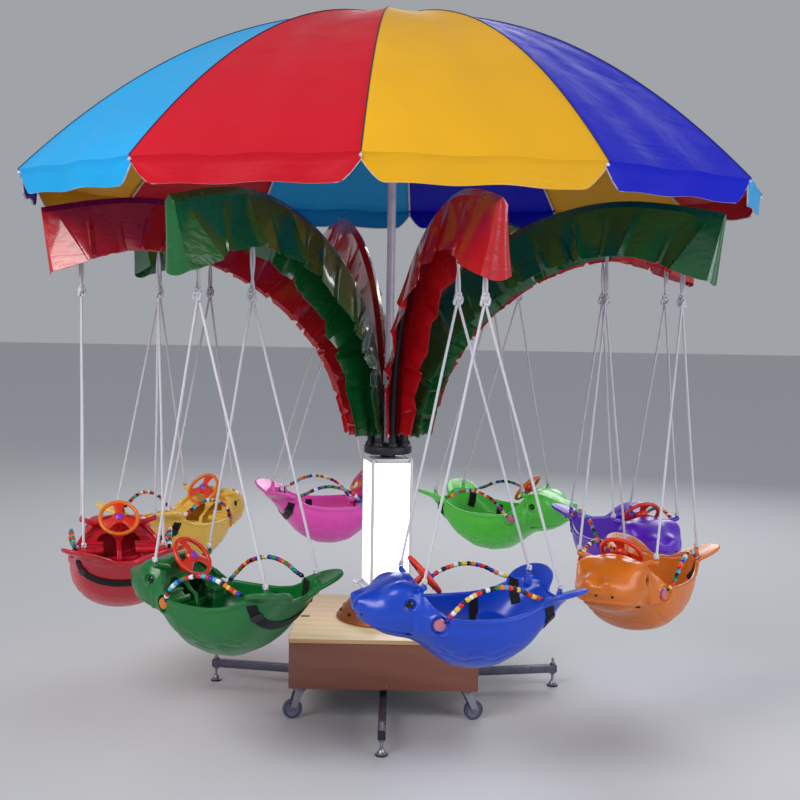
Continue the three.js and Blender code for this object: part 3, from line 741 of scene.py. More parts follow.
def seat_mesh():
    step = 3.2
    vertices, quads = surface_nets(seat_field(step), np.array(SEAT_LOW, float), step)
    mesh = bpy.data.meshes.new("seat_shell")
    mesh.from_pydata((vertices / 1000).tolist(), [], quads.tolist())
    mesh.update()
    triangles = 34000
    return applied(mesh, SMOOTH={"factor": 0.5, "iterations": 2},
                   DECIMATE={"ratio": min(1.0, triangles / (2 * len(quads)))})


SEAT_MESH = seat_mesh()
SEAT_TREE = BVHTree.FromPolygons([v.co / MM for v in SEAT_MESH.vertices],
                                 [tuple(p.vertices) for p in SEAT_MESH.polygons])


def cast(origin, direction, lift=1.2):
    """Where a ray meets the shell, lifted off it, with the normal there; nothing where it misses."""
    hit, normal, _index, _distance = SEAT_TREE.ray_cast(Vector(origin), Vector(direction).normalized())
    return [] if hit is None else [(hit + normal * lift, normal)]


def on_shell(origin, direction, lift=0.0):
    found = cast(origin, direction, lift)
    return found[0][0] if found else Vector(origin)


def steering_wheel(ring_material):
    """A wavy rim, three flat spokes, a boss with a cap, and the column, leaning back."""
    rim = [(71 * math.cos(a), 71 * math.sin(a), 0) for a in circle(64)]
    grip = [7.8 + 0.6 * math.cos(16 * a) for a in circle(64)]
    sections = []
    for share in np.linspace(0, 1, 9):
        half, lift = 14 + 14 * share ** 2, 5 - 6 * share ** 2
        sections.append([(16 + 52 * share, half * math.cos(b), lift + 4.2 * math.sin(b)) for b in circle(8)])
    spoke = loft(sections, WHEEL_RED)
    parts = [
        tube(rim, grip, ring_material, 12, closed=True),
        *[moved(spoke, turned("Z", angle)) for angle in (-90, 30, 150)],
        lathe([(0, -12), (20, -12), (25, -6), (26, 4), (22, 10), (0, 12.5)], WHEEL_RED, 32),
        lathe([(0, 8), (16, 9.5), (14, 15), (8, 18), (0, 19)], HUB_VIOLET, 24),
        lathe([(0, -75), (13, -75), (10.5, -30), (9.5, -10), (0, -10)], WHEEL_RED, 20),
    ]
    return [moved(part, to(135, 0, 716) @ turned("Y", -50) @ turned("Z", 90)) for part in parts]


def beaded_guard(side, seed):
    """Round beads on a bowed rod, from the plug over the cockpit to the rear rim."""
    draw = random.Random(seed)
    start = on_shell((112, side * 400, 598), (0, -side, 0), 3)
    end = on_shell((-205, side * 165, 800), (0, 0, -1), 3)
    line = spline([start, (84, side * 180, 640), (34, side * 182, 682), (-45, side * 180, 706),
                   (-115, side * 176, 697), (-168, side * 170, 672), end], 260)
    run = run_along(line)
    parts = [tube(line[::6], 3.5, EYE_BLACK, 6)]
    radius, at, colour = 7.8, 10, None
    while at < run[-1] - 12:
        length = draw.choice((12, 15, 18))
        centre, ahead = (Vector([np.interp(at + length * share, run, line[:, k]) for k in range(3)])
                         for share in (0.5, 1))
        colour = draw.choice([m for m in (0, 1, 0, 1, 2, 3, 4, 5, 6, 7) if m != colour])
        half = length / 2 - 0.4
        profile = [(3, -half), (radius * 0.82, -half), (radius, -half * 0.55), (radius * 1.04, 0),
                   (radius, half * 0.55), (radius * 0.82, half), (3, half)]
        parts.append(moved(lathe(profile, BEADS[colour], 12), to(*centre) @ aimed(ahead - centre)))
        at += length
    return parts


def directions(points):
    """From the point before to the point after, at each point of a line."""
    last = len(points) - 1
    return [points[min(k + 1, last)] - points[max(k - 1, 0)] for k in range(last + 1)]


def band(path, across, half, thickness, material):
    """A flat strap through (point, normal) pairs: a strip with thickness, UV in metres."""
    sections, lengths = [], [0.0]
    for k, ((centre, normal), wide) in enumerate(zip(path, across)):
        if k:
            lengths.append(lengths[-1] + (centre - path[k - 1][0]).length * MM)
        corners = ((-half, 0), (half, 0), (half, thickness), (-half, thickness))
        sections.append([centre + wide.normalized() * u + normal.normalized() * lift for u, lift in corners])
    uvs, over = [], 2 * half * MM
    for low, high in zip(lengths, lengths[1:]):
        for left, right in ((0, over), (over, over), (over, 0), (0, 0)):
            uvs += [(left, low), (right, low), (right, high), (left, high)]
    return *loft(sections, material), uvs + [(0.0, 0.0)] * 8


def rear_strap():
    """Webbing up one inner wall, over the rim, under the keel and back, with a slide at each rim."""
    heights = (575, 600, 618)
    rays = [((-222, 0, z), (0, -1, 0)) for z in heights] + [((-222, -157, 800), (0, 0, -1))]
    for angle in np.linspace(-91, 91, 53):
        a = math.radians(angle)
        away = Vector((-0.16 - 0.30 * math.cos(a), math.sin(a), -math.cos(a)))
        rays.append((Vector((-205, 0, 626)) + away * 500, -away))
    rays += [((-222, 157, 800), (0, 0, -1))] + [((-222, 0, z), (0, 1, 0)) for z in reversed(heights)]
    path = [found for ray in rays for found in cast(*ray)]
    along = directions([centre for centre, _normal in path])
    across = [way.cross(normal) for way, (_centre, normal) in zip(along, path)]
    parts = [band(path, across, 16.5, 2.6, STRAP)]
    for k in (8, len(path) - 9):
        centre, normal = path[k]
        turn = Matrix([axis.normalized() for axis in (across[k], along[k], normal)]).transposed().to_4x4()
        parts.append(block((40, 22, 7), centre + normal * 3, RUBBER, 2, 2, turn))
    return parts


def lap_belt():
    """Belts down the inner walls to the bench and a loose lap strap with its buckle."""
    parts = []
    for side in (-1, 1):
        path = [found for z in np.linspace(592, 512, 9) for found in cast((-88, 0, z), (0, side, 0), 1)]
        parts.append(band(path, [Vector((1, 0, 0))] * len(path), 15.5, 2.2, STRAP))
    line = spline([(-88, -150, 520), (-80, -105, 516), (-60, -50, 520), (-56, 10, 519),
                   (-70, 70, 518), (-85, 115, 517), (-88, 150, 520)], 30)
    line = [on_shell((x, y, 600), (0, 0, -1), 2) for x, y, _z in line]
    up = Vector((0, 0, 1))
    across = [way.cross(up) for way in directions(line)]
    parts.append(band([(point, up) for point in line], across, 12.5, 2.2, STRAP))
    parts.append(block((40, 52, 12), line[15] + up * 6, RUBBER, 3, 3))
    parts.append(block((16, 20, 4), line[15] + up * 13, WHEEL_RED, 1))
    return parts


def seat_trim(colour):
    """Eyes, side plugs, washers on the lugs and rivets on the snout."""
    plug = PLASTIC["orange"] if colour in ("green", "yellow") else PLUG_PINK
    ball = lathe([(0, -4), (12.5, -2), (12, 1.8), (9, 4.2), (4.5, 5.4), (0, 5.8)], EYE_BLACK, 28)
    disc = lathe([(0, 8.5), (12, 8), (18, 5.5), (19.5, 0), (19.5, -6), (0, -6)], plug, 36)
    washer = lathe([(4.8, 0), (9, 0), (9.2, 1.4), (7.5, 1.8), (4.8, 1.2), (4.8, 0)], ZINC, 20)
    rivet = lathe([(0, -2), (5.5, -1), (5, 1.2), (2.5, 2.2), (0, 2.4)], EYE_BLACK, 16)
    parts = []
    for side in (-1, 1):
        eye, socket = (on_shell((x, side * 400, z), (0, -side, 0)) for x, z in (EYE, PLUG))
        parts.append(moved(ball, to(*eye) @ aimed((0.10, side, 0.10))))
        parts.append(moved(disc, to(*socket) @ aimed((0.12, side, -0.05))))
        for forward, z in ((FRONT_LUG[0], 715.8), (REAR_LUG[0], 684.2)):
            parts.append(moved(washer, to(forward, side * HOOK_SPREAD, z)))
    for side in (-52, 0, 52):
        place = on_shell((500, side, 612 - abs(side) * 0.06), (-1, 0, 0))
        parts.append(moved(rivet, to(*place) @ aimed((1, side * 0.009, -0.15))))
    return parts


def knot(forward, height, size, cord):
    """An overhand knot: a trefoil of cord drawn tight."""
    line = [(forward + size * 0.18 * (math.sin(a) + 2 * math.sin(2 * a)),
             size * 0.18 * (math.cos(a) - 2 * math.cos(2 * a)),
             height - size * 0.45 * math.sin(3 * a)) for a in circle(40)]
    return tube(line, cord, ROPE, closed=True)


def rope_parts():
    """A doubled cord from the arm to its knot and one strand to each end of the seat, in one plane."""
    cords = [helix(4.8, start, 1.1, HOOK_HEIGHT, KNOT_HEIGHT, 36) for start in (0, 0.5)]
    parts = [tube(cord, 4.6, ROPE) for cord in cords]
    for forward, height in (FRONT_LUG, REAR_LUG):
        line = []
        for share in np.linspace(0, 1, 90):
            wobble = math.sin(9 * share) * math.sin(math.pi * share)
            z = KNOT_HEIGHT + (height - KNOT_HEIGHT) * share
            line.append((forward * share + wobble, wobble * 0.6, z))
        parts += [tube(line, 4.7, ROPE), knot(forward, height + 1, 13, 3.5)]
    for height, size, cord in ((KNOT_HEIGHT, 26, 5.2), (KNOT_HEIGHT + 16, 18, 4.6), (HOOK_HEIGHT, 17, 4.2)):
        parts.append(knot(0, height, size, cord))
    return parts


WHEELS = {False: steering_wheel(WHEEL_ORANGE), True: steering_wheel(WHEEL_RED)}
STRAP_PARTS, BELT_PARTS, ROPE_PARTS = rear_strap(), lap_belt(), rope_parts()
for number, (name, azimuth) in enumerate(zip(SEAT_NAMES, ARM_AZIMUTHS)):
    # From a seat's own frame (forward, outward, up) to the ride
    place = turned("Z", azimuth + 180) @ to(0, SEAT_RADIUS)
    body = "seat_" + name
    mesh = SEAT_MESH.copy()
    mesh.materials.clear()
    mesh.materials.append(PLASTIC[name])
    show("shell_" + name, mesh, body, "seat_" + name, place, 50)
    for piece, parts in (("steering_wheel", WHEELS[name in RED_WHEELS]), ("rear_strap", STRAP_PARTS),
                         ("lap_belt", BELT_PARTS), ("trim", seat_trim(name))):
        make(f"{piece}_{name}", parts, body, matrix=place)
    for label, side in (("inner", -1), ("outer", 1)):
        make(f"guard_{label}_{name}", beaded_guard(side, 40 + number * 2 + side), body, matrix=place)
        make(f"ropes_{label}_{name}", ROPE_PARTS, f"{label}_ropes_{name}",
             f"rope_pair_{label}_{name}", place @ to(0, side * HOOK_SPREAD), 60)


# Canopy

PANELS = range(12)
PANEL_WIDTH, CORNER_WIDTH = 735, 66
HEM_AT_RIB, HEM_FULL = 16, CANOPY_RIM - VALANCE_BOTTOM - 2


def dome_height(share):
    return CANOPY_RIM + CANOPY_RISE * (1 - share ** CANOPY_POWER)


def dome_point(panel, u, share):
    """On the cloth: u runs 0 to 1 from rib to rib, share from the top to the rim."""
    left, right = (polar(CANOPY_PHASE + CANOPY_STEP * (panel + n), CANOPY_RADIUS * share) for n in (0, 1))
    flat = left.lerp(right, u)
    bow = 4 * u * (1 - u)
    slack = 10 * math.sin(math.pi * min(1, share * 1.05)) * (0.8 + 0.4 * math.sin(2.3 * panel + 5 * share))
    waves = 2.4 * u + 0.7 * math.sin(2.6 * share + 1.9 * panel)
    wrinkle = 4 * share ** 2 * math.sin(2 * math.pi * waves)
    pull = 1 - 0.006 * bow * math.sin(math.pi * share)
    return Vector((flat.x * pull, flat.y * pull, dome_height(share) - bow * (slack + wrinkle)))


def hem_drop(u, panel):
    """How far the hanging hem reaches down, with its cut corners."""
    corner = min(1.0, PANEL_WIDTH * min(u, 1 - u) / CORNER_WIDTH)
    soft = 0.5 * corner + 0.5 * math.sin(corner * math.pi / 2)
    scallop = 4 * math.sin(math.pi * u) * (1 + 0.5 * math.sin(1.7 * panel))
    return HEM_AT_RIB + (HEM_FULL - HEM_AT_RIB) * soft - scallop


def hem_point(panel, u, down, lift=0.0):
    """On the hem: down runs 0 to 1 from the rim to the hem's edge."""
    out = polar(CANOPY_PHASE + CANOPY_STEP * (panel + 0.5), 1)
    ripple = 4.5 * math.sin(13 * u + 1.3 * panel) * math.sin(math.pi * u) ** 0.5 * down ** 1.3
    fall = hem_drop(u, panel) * down - lift
    return dome_point(panel, u, 1) + out * ripple - out * (4 + 6 * down) - Vector((0, 0, fall))


def solidified(name, points, faces, materials, indices, thickness, node, smooth=40, offset=-1):
    """A sheet with thickness, on the rotor."""
    mesh = bpy.data.meshes.new(name)
    mesh.from_pydata([p * MM for p in points], [], faces)
    for material in materials:
        mesh.materials.append(material)
    mesh.polygons.foreach_set("material_index", indices)
    work = bmesh.new()
    work.from_mesh(mesh)
    bmesh.ops.remove_doubles(work, verts=work.verts, dist=1e-5)
    work.to_mesh(mesh)
    work.free()
    done = applied(mesh, SOLIDIFY={"thickness": thickness * MM, "offset": offset})
    return show(name, done, "rotor", node, smooth=smooth)


def canopy_cloth():
    """Twelve panels with their hems, and the number of each face's colour."""
    points, faces, colours = [], [], []
    columns, rows, drops = 24, 30, 6
    top = 0.018
    across = [i / columns for i in range(columns + 1)]
    for panel in PANELS:
        start = len(points)
        for j in range(rows + 1):
            points += [dome_point(panel, u, top + (1 - top) * (j / rows)) for u in across]
        for d in range(1, drops + 1):
            points += [hem_point(panel, u, d / drops) for u in across]
        for a, b, c, d in grid_faces(rows + drops + 1, columns + 1):
            faces.append((start + a, start + d, start + c, start + b))
            colours.append(panel % len(CANOPY))
    return points, faces, colours


def canopy_trim():
    """Piping round the hem, tape over the seams and tip caps on the ribs."""
    parts = []
    for panel in PANELS:
        edge = [hem_point(panel, i / 40, 1, lift=2.2) - polar(CANOPY_PHASE + CANOPY_STEP * (panel + 0.5), 2.6)
                for i in range(41)]
        parts.append(tube(edge, 2.7, PIPING, 6))
        seam = [dome_point(panel, 0, 0.03 + 0.97 * k / 30) + Vector((0, 0, 0.6)) for k in range(31)]
        parts.append(tube(seam, 2.0, SEAM, 6))
        tip = [polar(CANOPY_PHASE + CANOPY_STEP * panel, CANOPY_RADIUS + out, CANOPY_RIM - low)
               for out, low in ((-16, 6), (-6, 9), (0.5, 12))]
        parts.append(tube(tip, [5.0, 5.6, 3.0], WHITE_PAINT, 10))
    return parts


cloth_points, cloth_faces, cloth_colours = canopy_cloth()
canopy = solidified("canopy_cloth", cloth_points, cloth_faces, CANOPY, cloth_colours, 1.8,
                    "canopy")
trim = make("canopy_piping", canopy_trim(), "rotor", smooth=60)
cap_outline = [(0, 2663.5), (10, 2663), (18, 2659), (30, 2657.5), (46, 2655), (47, 2650.5), (30, 2650)]
make("canopy_cap", [lathe(cap_outline, WHITE_PAINT, 40)], "rotor")


def canopy_ribs():
    """Ribs under the seams with their stretchers, the runner on the pole and the crown."""
    channel = ((-4.5, 0), (4.5, 0), (4.5, -10), (2, -12), (-2, -12), (-4.5, -10))
    sections = []
    for n in range(25):
        radius = (CANOPY_RADIUS - 14) * (0.012 + 0.978 * n / 24)
        z = dome_height(radius / CANOPY_RADIUS) - 10.5
        sections.append([(radius, side, z + low) for side, low in channel])
    runner, joint = 2150, 760
    joint_z = dome_height(joint / CANOPY_RADIUS) - 24
    parts = spun([
        loft(sections, RIB_STEEL),
        tube([(34, 0, runner), (joint, 0, joint_z)], 5.2, RIB_STEEL, 10),
        block((34, 16, 20), (joint, 0, joint_z + 6), ZINC, 2, 2, turned("Y", 21)),
        tube([(joint, -11, joint_z + 1), (joint, 11, joint_z + 1)], 2.8, BOLT, 8),
        block((16, 12, 16), (38, 0, runner), ZINC),
    ], [CANOPY_PHASE + CANOPY_STEP * panel for panel in PANELS])
    parts.append(lathe([(18.3, 2130), (30, 2130), (34, 2134), (34, 2144), (31, 2146), (31, 2154), (34, 2156),
                        (34, 2166), (30, 2170), (18.3, 2170), (18.3, 2130)], RIB_STEEL, 40))
    parts.append(lathe([(0, 2608.5), (30, 2608.5), (34, 2612), (34, 2624), (31, 2626), (31, 2632), (34, 2634),
                        (34, 2642), (0, 2643)], RIB_STEEL, 40))
    return parts


make("canopy_ribs", canopy_ribs(), "rotor", "canopy_frame")


# Column

make("mast_pole", [
    lathe([(0, 1012.4), (16.2, 1012.4), (16.2, 2129), (16.2, 2608), (0, 2608)], POLE_PAINT, 40),
    lathe([(16.3, 1240), (22, 1242), (23.5, 1248), (23.5, 1292), (22, 1298), (16.3, 1300)], WHITE_PAINT, 32),
    lathe([(16.3, 2108), (26, 2109), (27.5, 2113), (27.5, 2126), (16.3, 2128.5)], RUBBER, 32),
    *bolt((0, -23, 1270), (0, -1, 0), 6, DARK_BOLT),
], "rotor", "canopy_pole")


def arm_parts():
    """The hub plate with its bolts and eight bent arms, each with a collar, an end plug and two hooks."""
    line = spline([(r, 0, z) for r, z in ARM_LINE], 60)
    arm = [
        tube(line, 14, ARM_PAINT, 14),
        lathe([(14.2, 1004), (20.5, 1004), (20.5, 1012), (17.2, 1020), (14.2, 1021)], ARM_PAINT, 24,
              (70.3, 0, 0)),
        block((10, 26, 26), line[-1], RUBBER, 5, 3),
    ]
    for radius in (SEAT_RADIUS - HOOK_SPREAD, SEAT_RADIUS + HOOK_SPREAD):
        middle, bottom = float(np.interp(radius, line[:, 0], line[:, 2])), HOOK_HEIGHT + 9.6
        arm.append(block((10, 8, middle - bottom), (radius, 0, (middle + bottom) / 2), ZINC, 1.5))
        clamp = [(radius, 15.8 * math.cos(a), middle + 15.8 * math.sin(a)) for a in circle(24)]
        arm.append(tube(clamp, 2.2, ZINC, 6, closed=True))
    plate = lathe([(31.2, 972.2), (88, 972.2), (93, 975), (94, 980), (94, 998), (92, 1003), (88, 1005.8),
                   (31.2, 1005.8), (31.2, 972.2)], ARM_PAINT, 64)
    parts = [plate, *spun(arm, ARM_AZIMUTHS)]
    for azimuth in ARM_AZIMUTHS:
        parts += bolt(polar(azimuth + ARM_STEP / 2, 60, 1005.8), (0, 0, 1), 5.5, DARK_BOLT)
    return parts


def lantern_parts():
    """Corner posts, opal panels, top and bottom frames and screws."""
    half, bottom, top = 82.5, 440, 957
    middle, tall = (bottom + top) / 2, top - bottom
    side = [block((12, 12, tall - 4), (half - 6, half - 6, middle), WHITE_PAINT),
            block((2 * half - 24, 3, tall - 36), (0, half - 6.5, middle), GLOW, 0.8, 1)]
    for z in (bottom + 9, top - 9):
        side.append(block((2 * half - 22, 11, 18), (0, half - 6.5, z), WHITE_PAINT, 1.5))
        for x in (-66, 66):
            side += bolt((x, half - 1, z), (0, 1, 0), 3, BOLT, 1.4, False)
    lid = block((2 * half - 16, 2 * half - 16, 4), (0, 0, top - 4), WHITE_PAINT, 1)
    return [lid, *spun(side, FOUR_SIDES)]


def flange_parts():
    """The plate under the column with four ears, the neck above it and the core inside."""
    ear = lathe([(6.2, 430.3), (16.5, 430.3), (17, 431.2), (17, 438.8), (16.5, 439.7), (6.2, 439.7),
                 (6.2, 430.3)], WHITE_PAINT, 32, (95, 95, 0))
    return [
        block((190, 190, 9.4), (0, 0, 435), WHITE_PAINT, 1.5),
        *spun([ear], FOUR_SIDES),
        lathe([(0, 957.2), (30, 957.2), (30, 1011.2), (28, 1012), (0, 1012)], BLACK, 40),
        lathe([(0, 441), (29.5, 441), (29.5, 950), (0, 950)], BLACK, 24),
    ]


def cover_parts():
    """The domed cover over the turntable and the bolts round its foot."""
    foot, foot_z, neck, neck_z = 190, 326.2, 96, 426.2
    profile = [(0, 313.6), (193, 313.6), (195, 315), (195, 320), (193.5, 322.5), (foot, foot_z)]
    for k in range(1, 21):
        share = k / 20
        z = foot_z + (neck_z - foot_z) * share ** 0.92 + 4 * math.sin(math.pi * share)
        profile.append((foot + (neck - foot) * share, z))
    parts = [lathe(profile + [(94.5, 428.8), (90, 429.8), (0, 429.8)], COPPER, 96)]
    for azimuth in range(8, 368, 30):
        parts += bolt(polar(azimuth, 178, 344), polar(azimuth, 0.30, 1), 5.2, DARK_BOLT)
    return parts


make("arm_spider", arm_parts(), "rotor", "arm_crown")
make("lantern", lantern_parts(), "rotor", "light_column", arm_matrix(ARM_PHASE))
make("mast_flange", flange_parts(), "rotor", "mast", arm_matrix(ARM_PHASE))
make("turntable_dome", cover_parts(), "rotor", "turntable_cover")


# Base


def wooden_box():
    """Top board with edge strips, a black strip under its edge as painted shadow, four sides, a floor, a
    catch and a bolt.
    """
    half, bottom, top = 356, 122, 313
    height = top - 17 - bottom
    middle = bottom + height / 2
    parts = [block((712, 712, 16), (0, 0, top - 8), WOOD_TOP, 1.6),
             block((680, 680, 12), (0, 0, bottom + 6.2), WOOD_SIDE, 1)]
    for wall in (6.5 - half, half - 6.5):
        parts.append(block((709.5, 12, height), (0, wall, middle), WOOD_SIDE, 1.2))
        parts.append(block((12, 684, height), (wall, 0, middle), WOOD_SIDE_Y, 1.2))
    # A thin black strip just under the top board's edge on each side: painted shadow of the board's overhang.
    parts += spun([block((710, 1.4, 1), (0, 0.6 - half, top - 16.5), BLACK, 0.2, 1),
                   block((708.5, 4, 15.2), (0, -half - 0.2, top - 8.4), EDGE_BAND, 0.8)], FOUR_SIDES)
    parts.append(block((34, 15, 3.6), (-318, -20, top + 0.4), RUBBER, 1.4))
    return parts + bolt((10, -356.5, 136), (0, -1, 0), 4, BOLT, 2, False)


def frame_parts():
    """A ring of bars under the box and four outrigger legs with end plugs and welds."""
    bar = block((470, 30, 31.4), (0, -220, 105.8), BLACK, 3)
    leg = [block((714, 29, 31.5), (357, 0, 73.8), LEG_PAINT, 3.5, 3),
           block((7, 28, 30.5), (715, 0, 73.8), RUBBER, 3, 3),
           tube([(235, -16, 90.2), (235, 16, 90.2)], 2.6, BLACK, 6)]
    return spun([bar], FOUR_SIDES) + spun(leg, LEG_AZIMUTHS.values())


def foot_parts():
    """A levelling screw: rubber sole, zinc cone, threaded rod and two nuts."""
    turns, pitch, foot_top = 40, 2.4, 20.5
    thread = helix(5.2, 0, turns, foot_top, foot_top + turns * pitch, 12 * turns)
    nut = lathe([(5.2, 0), (10.5, 0), (11.2, 1.2), (11.2, 6.8), (10.5, 8), (5.2, 8)], BOLT, 6)
    return [
        lathe([(0, 0), (20.5, 0), (22.2, 1.2), (22.5, 4), (21.5, 5.8), (0, 6)], RUBBER, 32),
        lathe([(0, 5.8), (20, 5.8), (20.4, 7.2), (18, 9.2), (12.5, 16), (8.8, 22.5), (8.4, 26.2), (6, 27),
               (0, 27)], ZINC, 32),
        tube(thread, 0.8, ZINC, 4),
        lathe([(0, 18), (5.2, 18), (5.2, 117.2), (4.2, 118), (0, 118)], ZINC, 20),
        *[moved(nut, to(0, 0, z)) for z in (50, 89.8)],
    ]


def caster_fork_parts():
    """The swivel's plates and the fork's two cheeks, raked back to the axle."""
    outline = [(-19, 112), (19, 112), (37.5, 52), (37.8, 40), (34, 31), (28, 28.5), (21.5, 31), (18, 40)]
    parts = [lathe([(0, 113.5), (23.5, 113.5), (24, 114.5), (24, 120.5), (23, 121.4), (0, 121.4)], ZINC, 32),
             lathe([(0, 104), (19, 104), (23.5, 108), (23.5, 111.5), (21, 113.2), (0, 113.2)], ZINC, 32),
             block((38, 31.6, 3), (0, 0, 111), ZINC, 1)]
    for side in (-1, 1):
        cheek = [[(x, side * 14.6 + half, z) for x, z in outline] for half in (1.2, -1.2)]
        parts.append(loft(cheek, ZINC))
        parts += bolt((AXLE_TRAIL, side * 15.8, AXLE_HEIGHT), (0, side, 0), 5.6, BOLT, 3)
    return parts


def caster_wheel_parts():
    """A soft tread on a plastic hub with six spokes."""
    spoke = block((13, 3, 15), (18.8, 0, 0), HUB_PLASTIC, 0.8, 1)
    parts = [
        lathe([(27, -10.8), (33.5, -11), (36.2, -9.2), (37.5, -5), (37.5, 5), (36.2, 9.2), (33.5, 11),
               (27, 10.8), (27, -10.8)], TREAD),
        lathe([(4.6, -10.5), (12, -10.5), (13.5, -6), (23, -5), (26.8, -8.5), (26.9, 8.5), (23, 5), (13.5, 6),
               (12, 10.5), (4.6, 10.5), (4.6, -10.5)], HUB_PLASTIC, 40),
        *spun([spoke], range(90, 450, 60)),
    ]
    return [moved(part, to(AXLE_TRAIL, 0, AXLE_HEIGHT) @ turned("X", 90)) for part in parts]


make("wooden_box", wooden_box(), "base", "base_box")
make("outrigger_frame", frame_parts(), "base", "base_frame")
for label, azimuth in LEG_AZIMUTHS.items():
    place = to(*polar(azimuth, FOOT_RADIUS))
    make("foot_screw_" + label, foot_parts(), "base", "levelling_foot_" + label, place)
for label, (x, y, heading) in CASTERS.items():
    place = to(x, y) @ turned("Z", heading)
    for piece, parts, body, slot in (("fork", caster_fork_parts(), "caster_", "zinc_steel"),
                                     ("wheel", caster_wheel_parts(), "wheel_", "caster_tread")):
        make(f"{piece}_{label}", parts, body + label, f"caster_{piece}_{label}", place)


# Leaf covers: share runs 0 to 1 along an arm, down 0 to 1 from the ridge's side to the hem

ARM_POINTS = spline([(r, 0, z) for r, z in ARM_LINE], 400)
LEAF_ROWS = 14
LEAF_START, LEAF_PAST = 0.03, 28
NOTCH = 0.0085
RIDGE_HALF = 17.8


def leaf_depth(share):
    return 88 + 84 * min(1, share / 0.36) ** 0.8 + 36 * max(0, share - 0.85) / 0.15


def leaf_spread(share):
    return 46 + 18 * min(1, share / 0.3)


def arm_at(share):
    """A point on the arm, the way along it and the way off it."""
    last = len(ARM_POINTS) - 1
    place = min(max(share, 0), 1) * last
    k = min(int(place), last - 1)
    at = ARM_POINTS[k] + (ARM_POINTS[k + 1] - ARM_POINTS[k]) * (place - k)
    tangent = Vector(ARM_POINTS[min(k + 3, last)] - ARM_POINTS[max(k - 2, 0)]).normalized()
    return Vector(at), tangent, Vector((-tangent.z, 0, tangent.x))


def leaf_folds(draw):
    """Where a cover is creased along the arm, and the columns of points between the creases."""
    places, at = [LEAF_START], 0.075
    while at < 0.93:
        places.append(at)
        at += draw.uniform(0.050, 0.088) * (1.0 if at > 0.3 else 0.75)
    places += [0.990, 1.0]
    stations = []
    for low, high in zip(places, places[1:]):
        stations.append(low)
        if high - low > 0.03:
            stations += [low + NOTCH, (low * 2 + high) / 3, (low + 2 * high) / 3, high - NOTCH]
    return np.array(places), stations + [1.0]


def leaf_side(draw, side, places, stations):
    """One hanging side: columns of points from ridge to hem, creased along slanting folds, notched below."""
    middle = len(places) - 3
    slants = [0.0] + [draw.uniform(-0.036, 0.036) for _ in range(middle)] + [-0.046, 0.0]
    values = [0.0] + [side * (-1) ** k * draw.uniform(0.5, 1.0) for k in range(middle)] + [0.75, 0.0]
    bulges = [draw.uniform(-7, 7) for _ in places]
    cuts = [0.0] + [draw.uniform(0.3, 1.0) * 23 for _ in places[1:-2]] + [0.0, 0.0]
    columns = []
    for number, share in enumerate([*stations, 1.0]):
        past_end = number == len(stations)
        beyond = LEAF_PAST if past_end else 0.0
        shift, value = np.interp(share, places, slants), np.interp(share, places, values)
        gap = int(np.searchsorted(places, share, "right")) - 1
        low, high = places[gap], places[min(gap + 1, len(places) - 1)]
        within = (share - low) / (high - low) if high > low else 0.0
        bulge = bulges[gap] * math.sin(math.pi * within)
        fold = int(np.argmin(abs(places - share)))
        near = max(0.0, 1 - abs(places[fold] - share) / NOTCH)
        crisp = 5.5 * near if 0 < fold < len(places) - 1 else 0.0
        amplitude = 9 + 10 * min(1.0, share / 0.5)
        narrow = 0.74 if past_end else 0.86 if number == len(stations) - 1 else 1.0
        line = []
        for k in range(LEAF_ROWS):
            down = k / (LEAF_ROWS - 1)
            here = share + shift * down
            if number == 0:
                here += 0.016 * abs(math.sin(2.6 * math.pi * down + side))
            centre, tangent, up = arm_at(here)
            hem = leaf_depth(here) - cuts[fold] * near - 4 * math.sin(math.pi * within)
            rise = 3 - (3 + hem) * down
            spread = leaf_spread(here) * narrow + 1 - RIDGE_HALF
            width = RIDGE_HALF + spread * down ** 1.08 - 3 * math.sin(math.pi * down) + crisp * down ** 0.6
            if not past_end:
                strips = 6 * math.sin(3.4 * math.pi * down + side) * max(0.0, 1 - here / 0.22)
                width += amplitude * value * down ** 0.8 + bulge * math.sin(math.pi * down) + strips
            line.append(centre + tangent * beyond + up * rise + Vector((0, side * width, 0)))
        columns.append((share, beyond, line))
    return columns


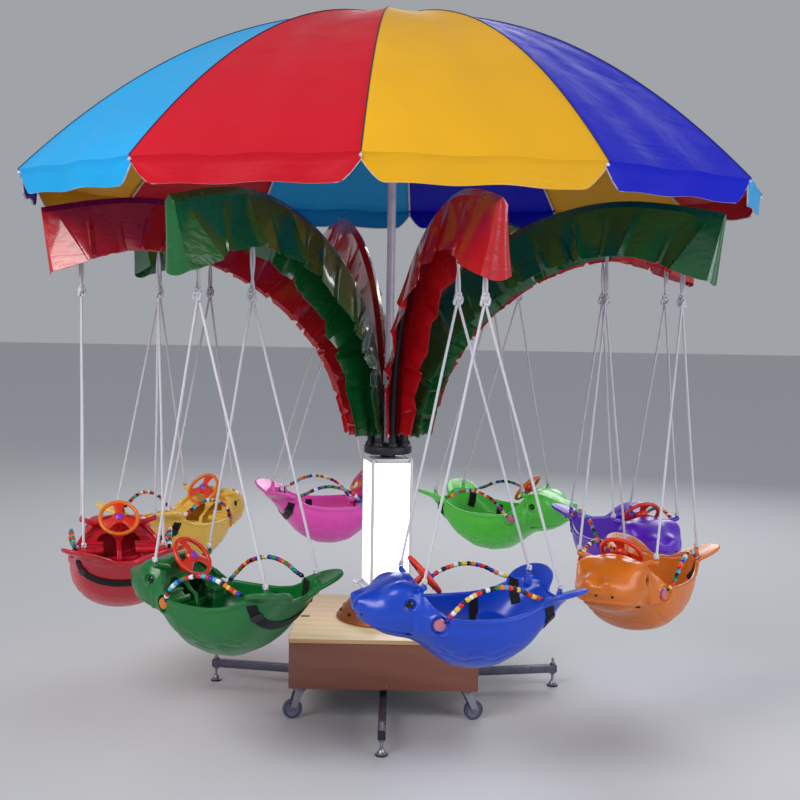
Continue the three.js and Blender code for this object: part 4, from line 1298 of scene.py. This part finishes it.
def leaf_sheet(seed):
    """One cover: both sides, the ridge over the arm and the folded triangular end."""
    draw = random.Random(seed)
    places, stations = leaf_folds(draw)
    rows, across = LEAF_ROWS + 1, 12
    points, faces, ends = [], [], []
    for side in (-1, 1):
        columns = leaf_side(draw, side, places, stations)
        start = len(points)
        for share, beyond, line in columns:
            centre, tangent, up = arm_at(share)
            points += [centre + tangent * beyond + up * 24.6, *line]
        for quad in grid_faces(len(columns), rows):
            face = tuple(start + n for n in quad)
            faces.append(face if side > 0 else face[::-1])
        ends.append(len(points) - rows)
    tangent, base = arm_at(1.0)[1], len(points)
    for k in range(1, rows):
        left, right = points[ends[0] + k], points[ends[1] + k]
        down = (k - 1) / (LEAF_ROWS - 1)
        for n in range(1, across):
            f = n / across
            bow = (12 * math.sin(math.pi * f) + 4 * math.sin(3 * math.pi * f)) * (0.15 + 0.85 * down)
            drop = Vector((0, 0, 14 * math.sin(math.pi * f) * down))
            points.append(left.lerp(right, f) + tangent * bow - drop)

    def pick(row, column):
        if column in (0, across):
            return ends[column // across] + row
        return base + (row - 1) * (across - 1) + column - 1

    for k, n in itertools.product(range(1, LEAF_ROWS), range(across)):
        faces.append((pick(k, n), pick(k, n + 1), pick(k + 1, n + 1), pick(k + 1, n)))
    faces += [(ends[0], pick(1, n + 1), pick(1, n)) for n in range(across)]
    return points, faces


for number, (name, azimuth) in enumerate(zip(SEAT_NAMES, ARM_AZIMUTHS)):
    points, faces = leaf_sheet(70 + number)
    points = [arm_matrix(azimuth) @ point for point in points]
    slot = "leaf_green" if number % 2 else "leaf_red"
    leaf = solidified("leaf_" + name, points, faces, [LEAVES[slot]], [0] * len(faces), 1.4,
                      f"leaf_cover_{name}_seat", smooth=13, offset=0)


# Floor and finish

floor_finish = Surface("floor_grey", Base_Color=(0.62, 0.63, 0.66, 1))
floor_finish.rough(floor_finish.noise(3, 4), 0.5, 0.65)
FLOOR_HALF = 30000
corners = [(-FLOOR_HALF, -FLOOR_HALF, 0), (FLOOR_HALF, -FLOOR_HALF, 0),
           (FLOOR_HALF, FLOOR_HALF, 0), (-FLOOR_HALF, FLOOR_HALF, 0)]
floor = make("floor", [(corners, [(0, 1, 2, 3)], floor_finish.material)], smooth=0)
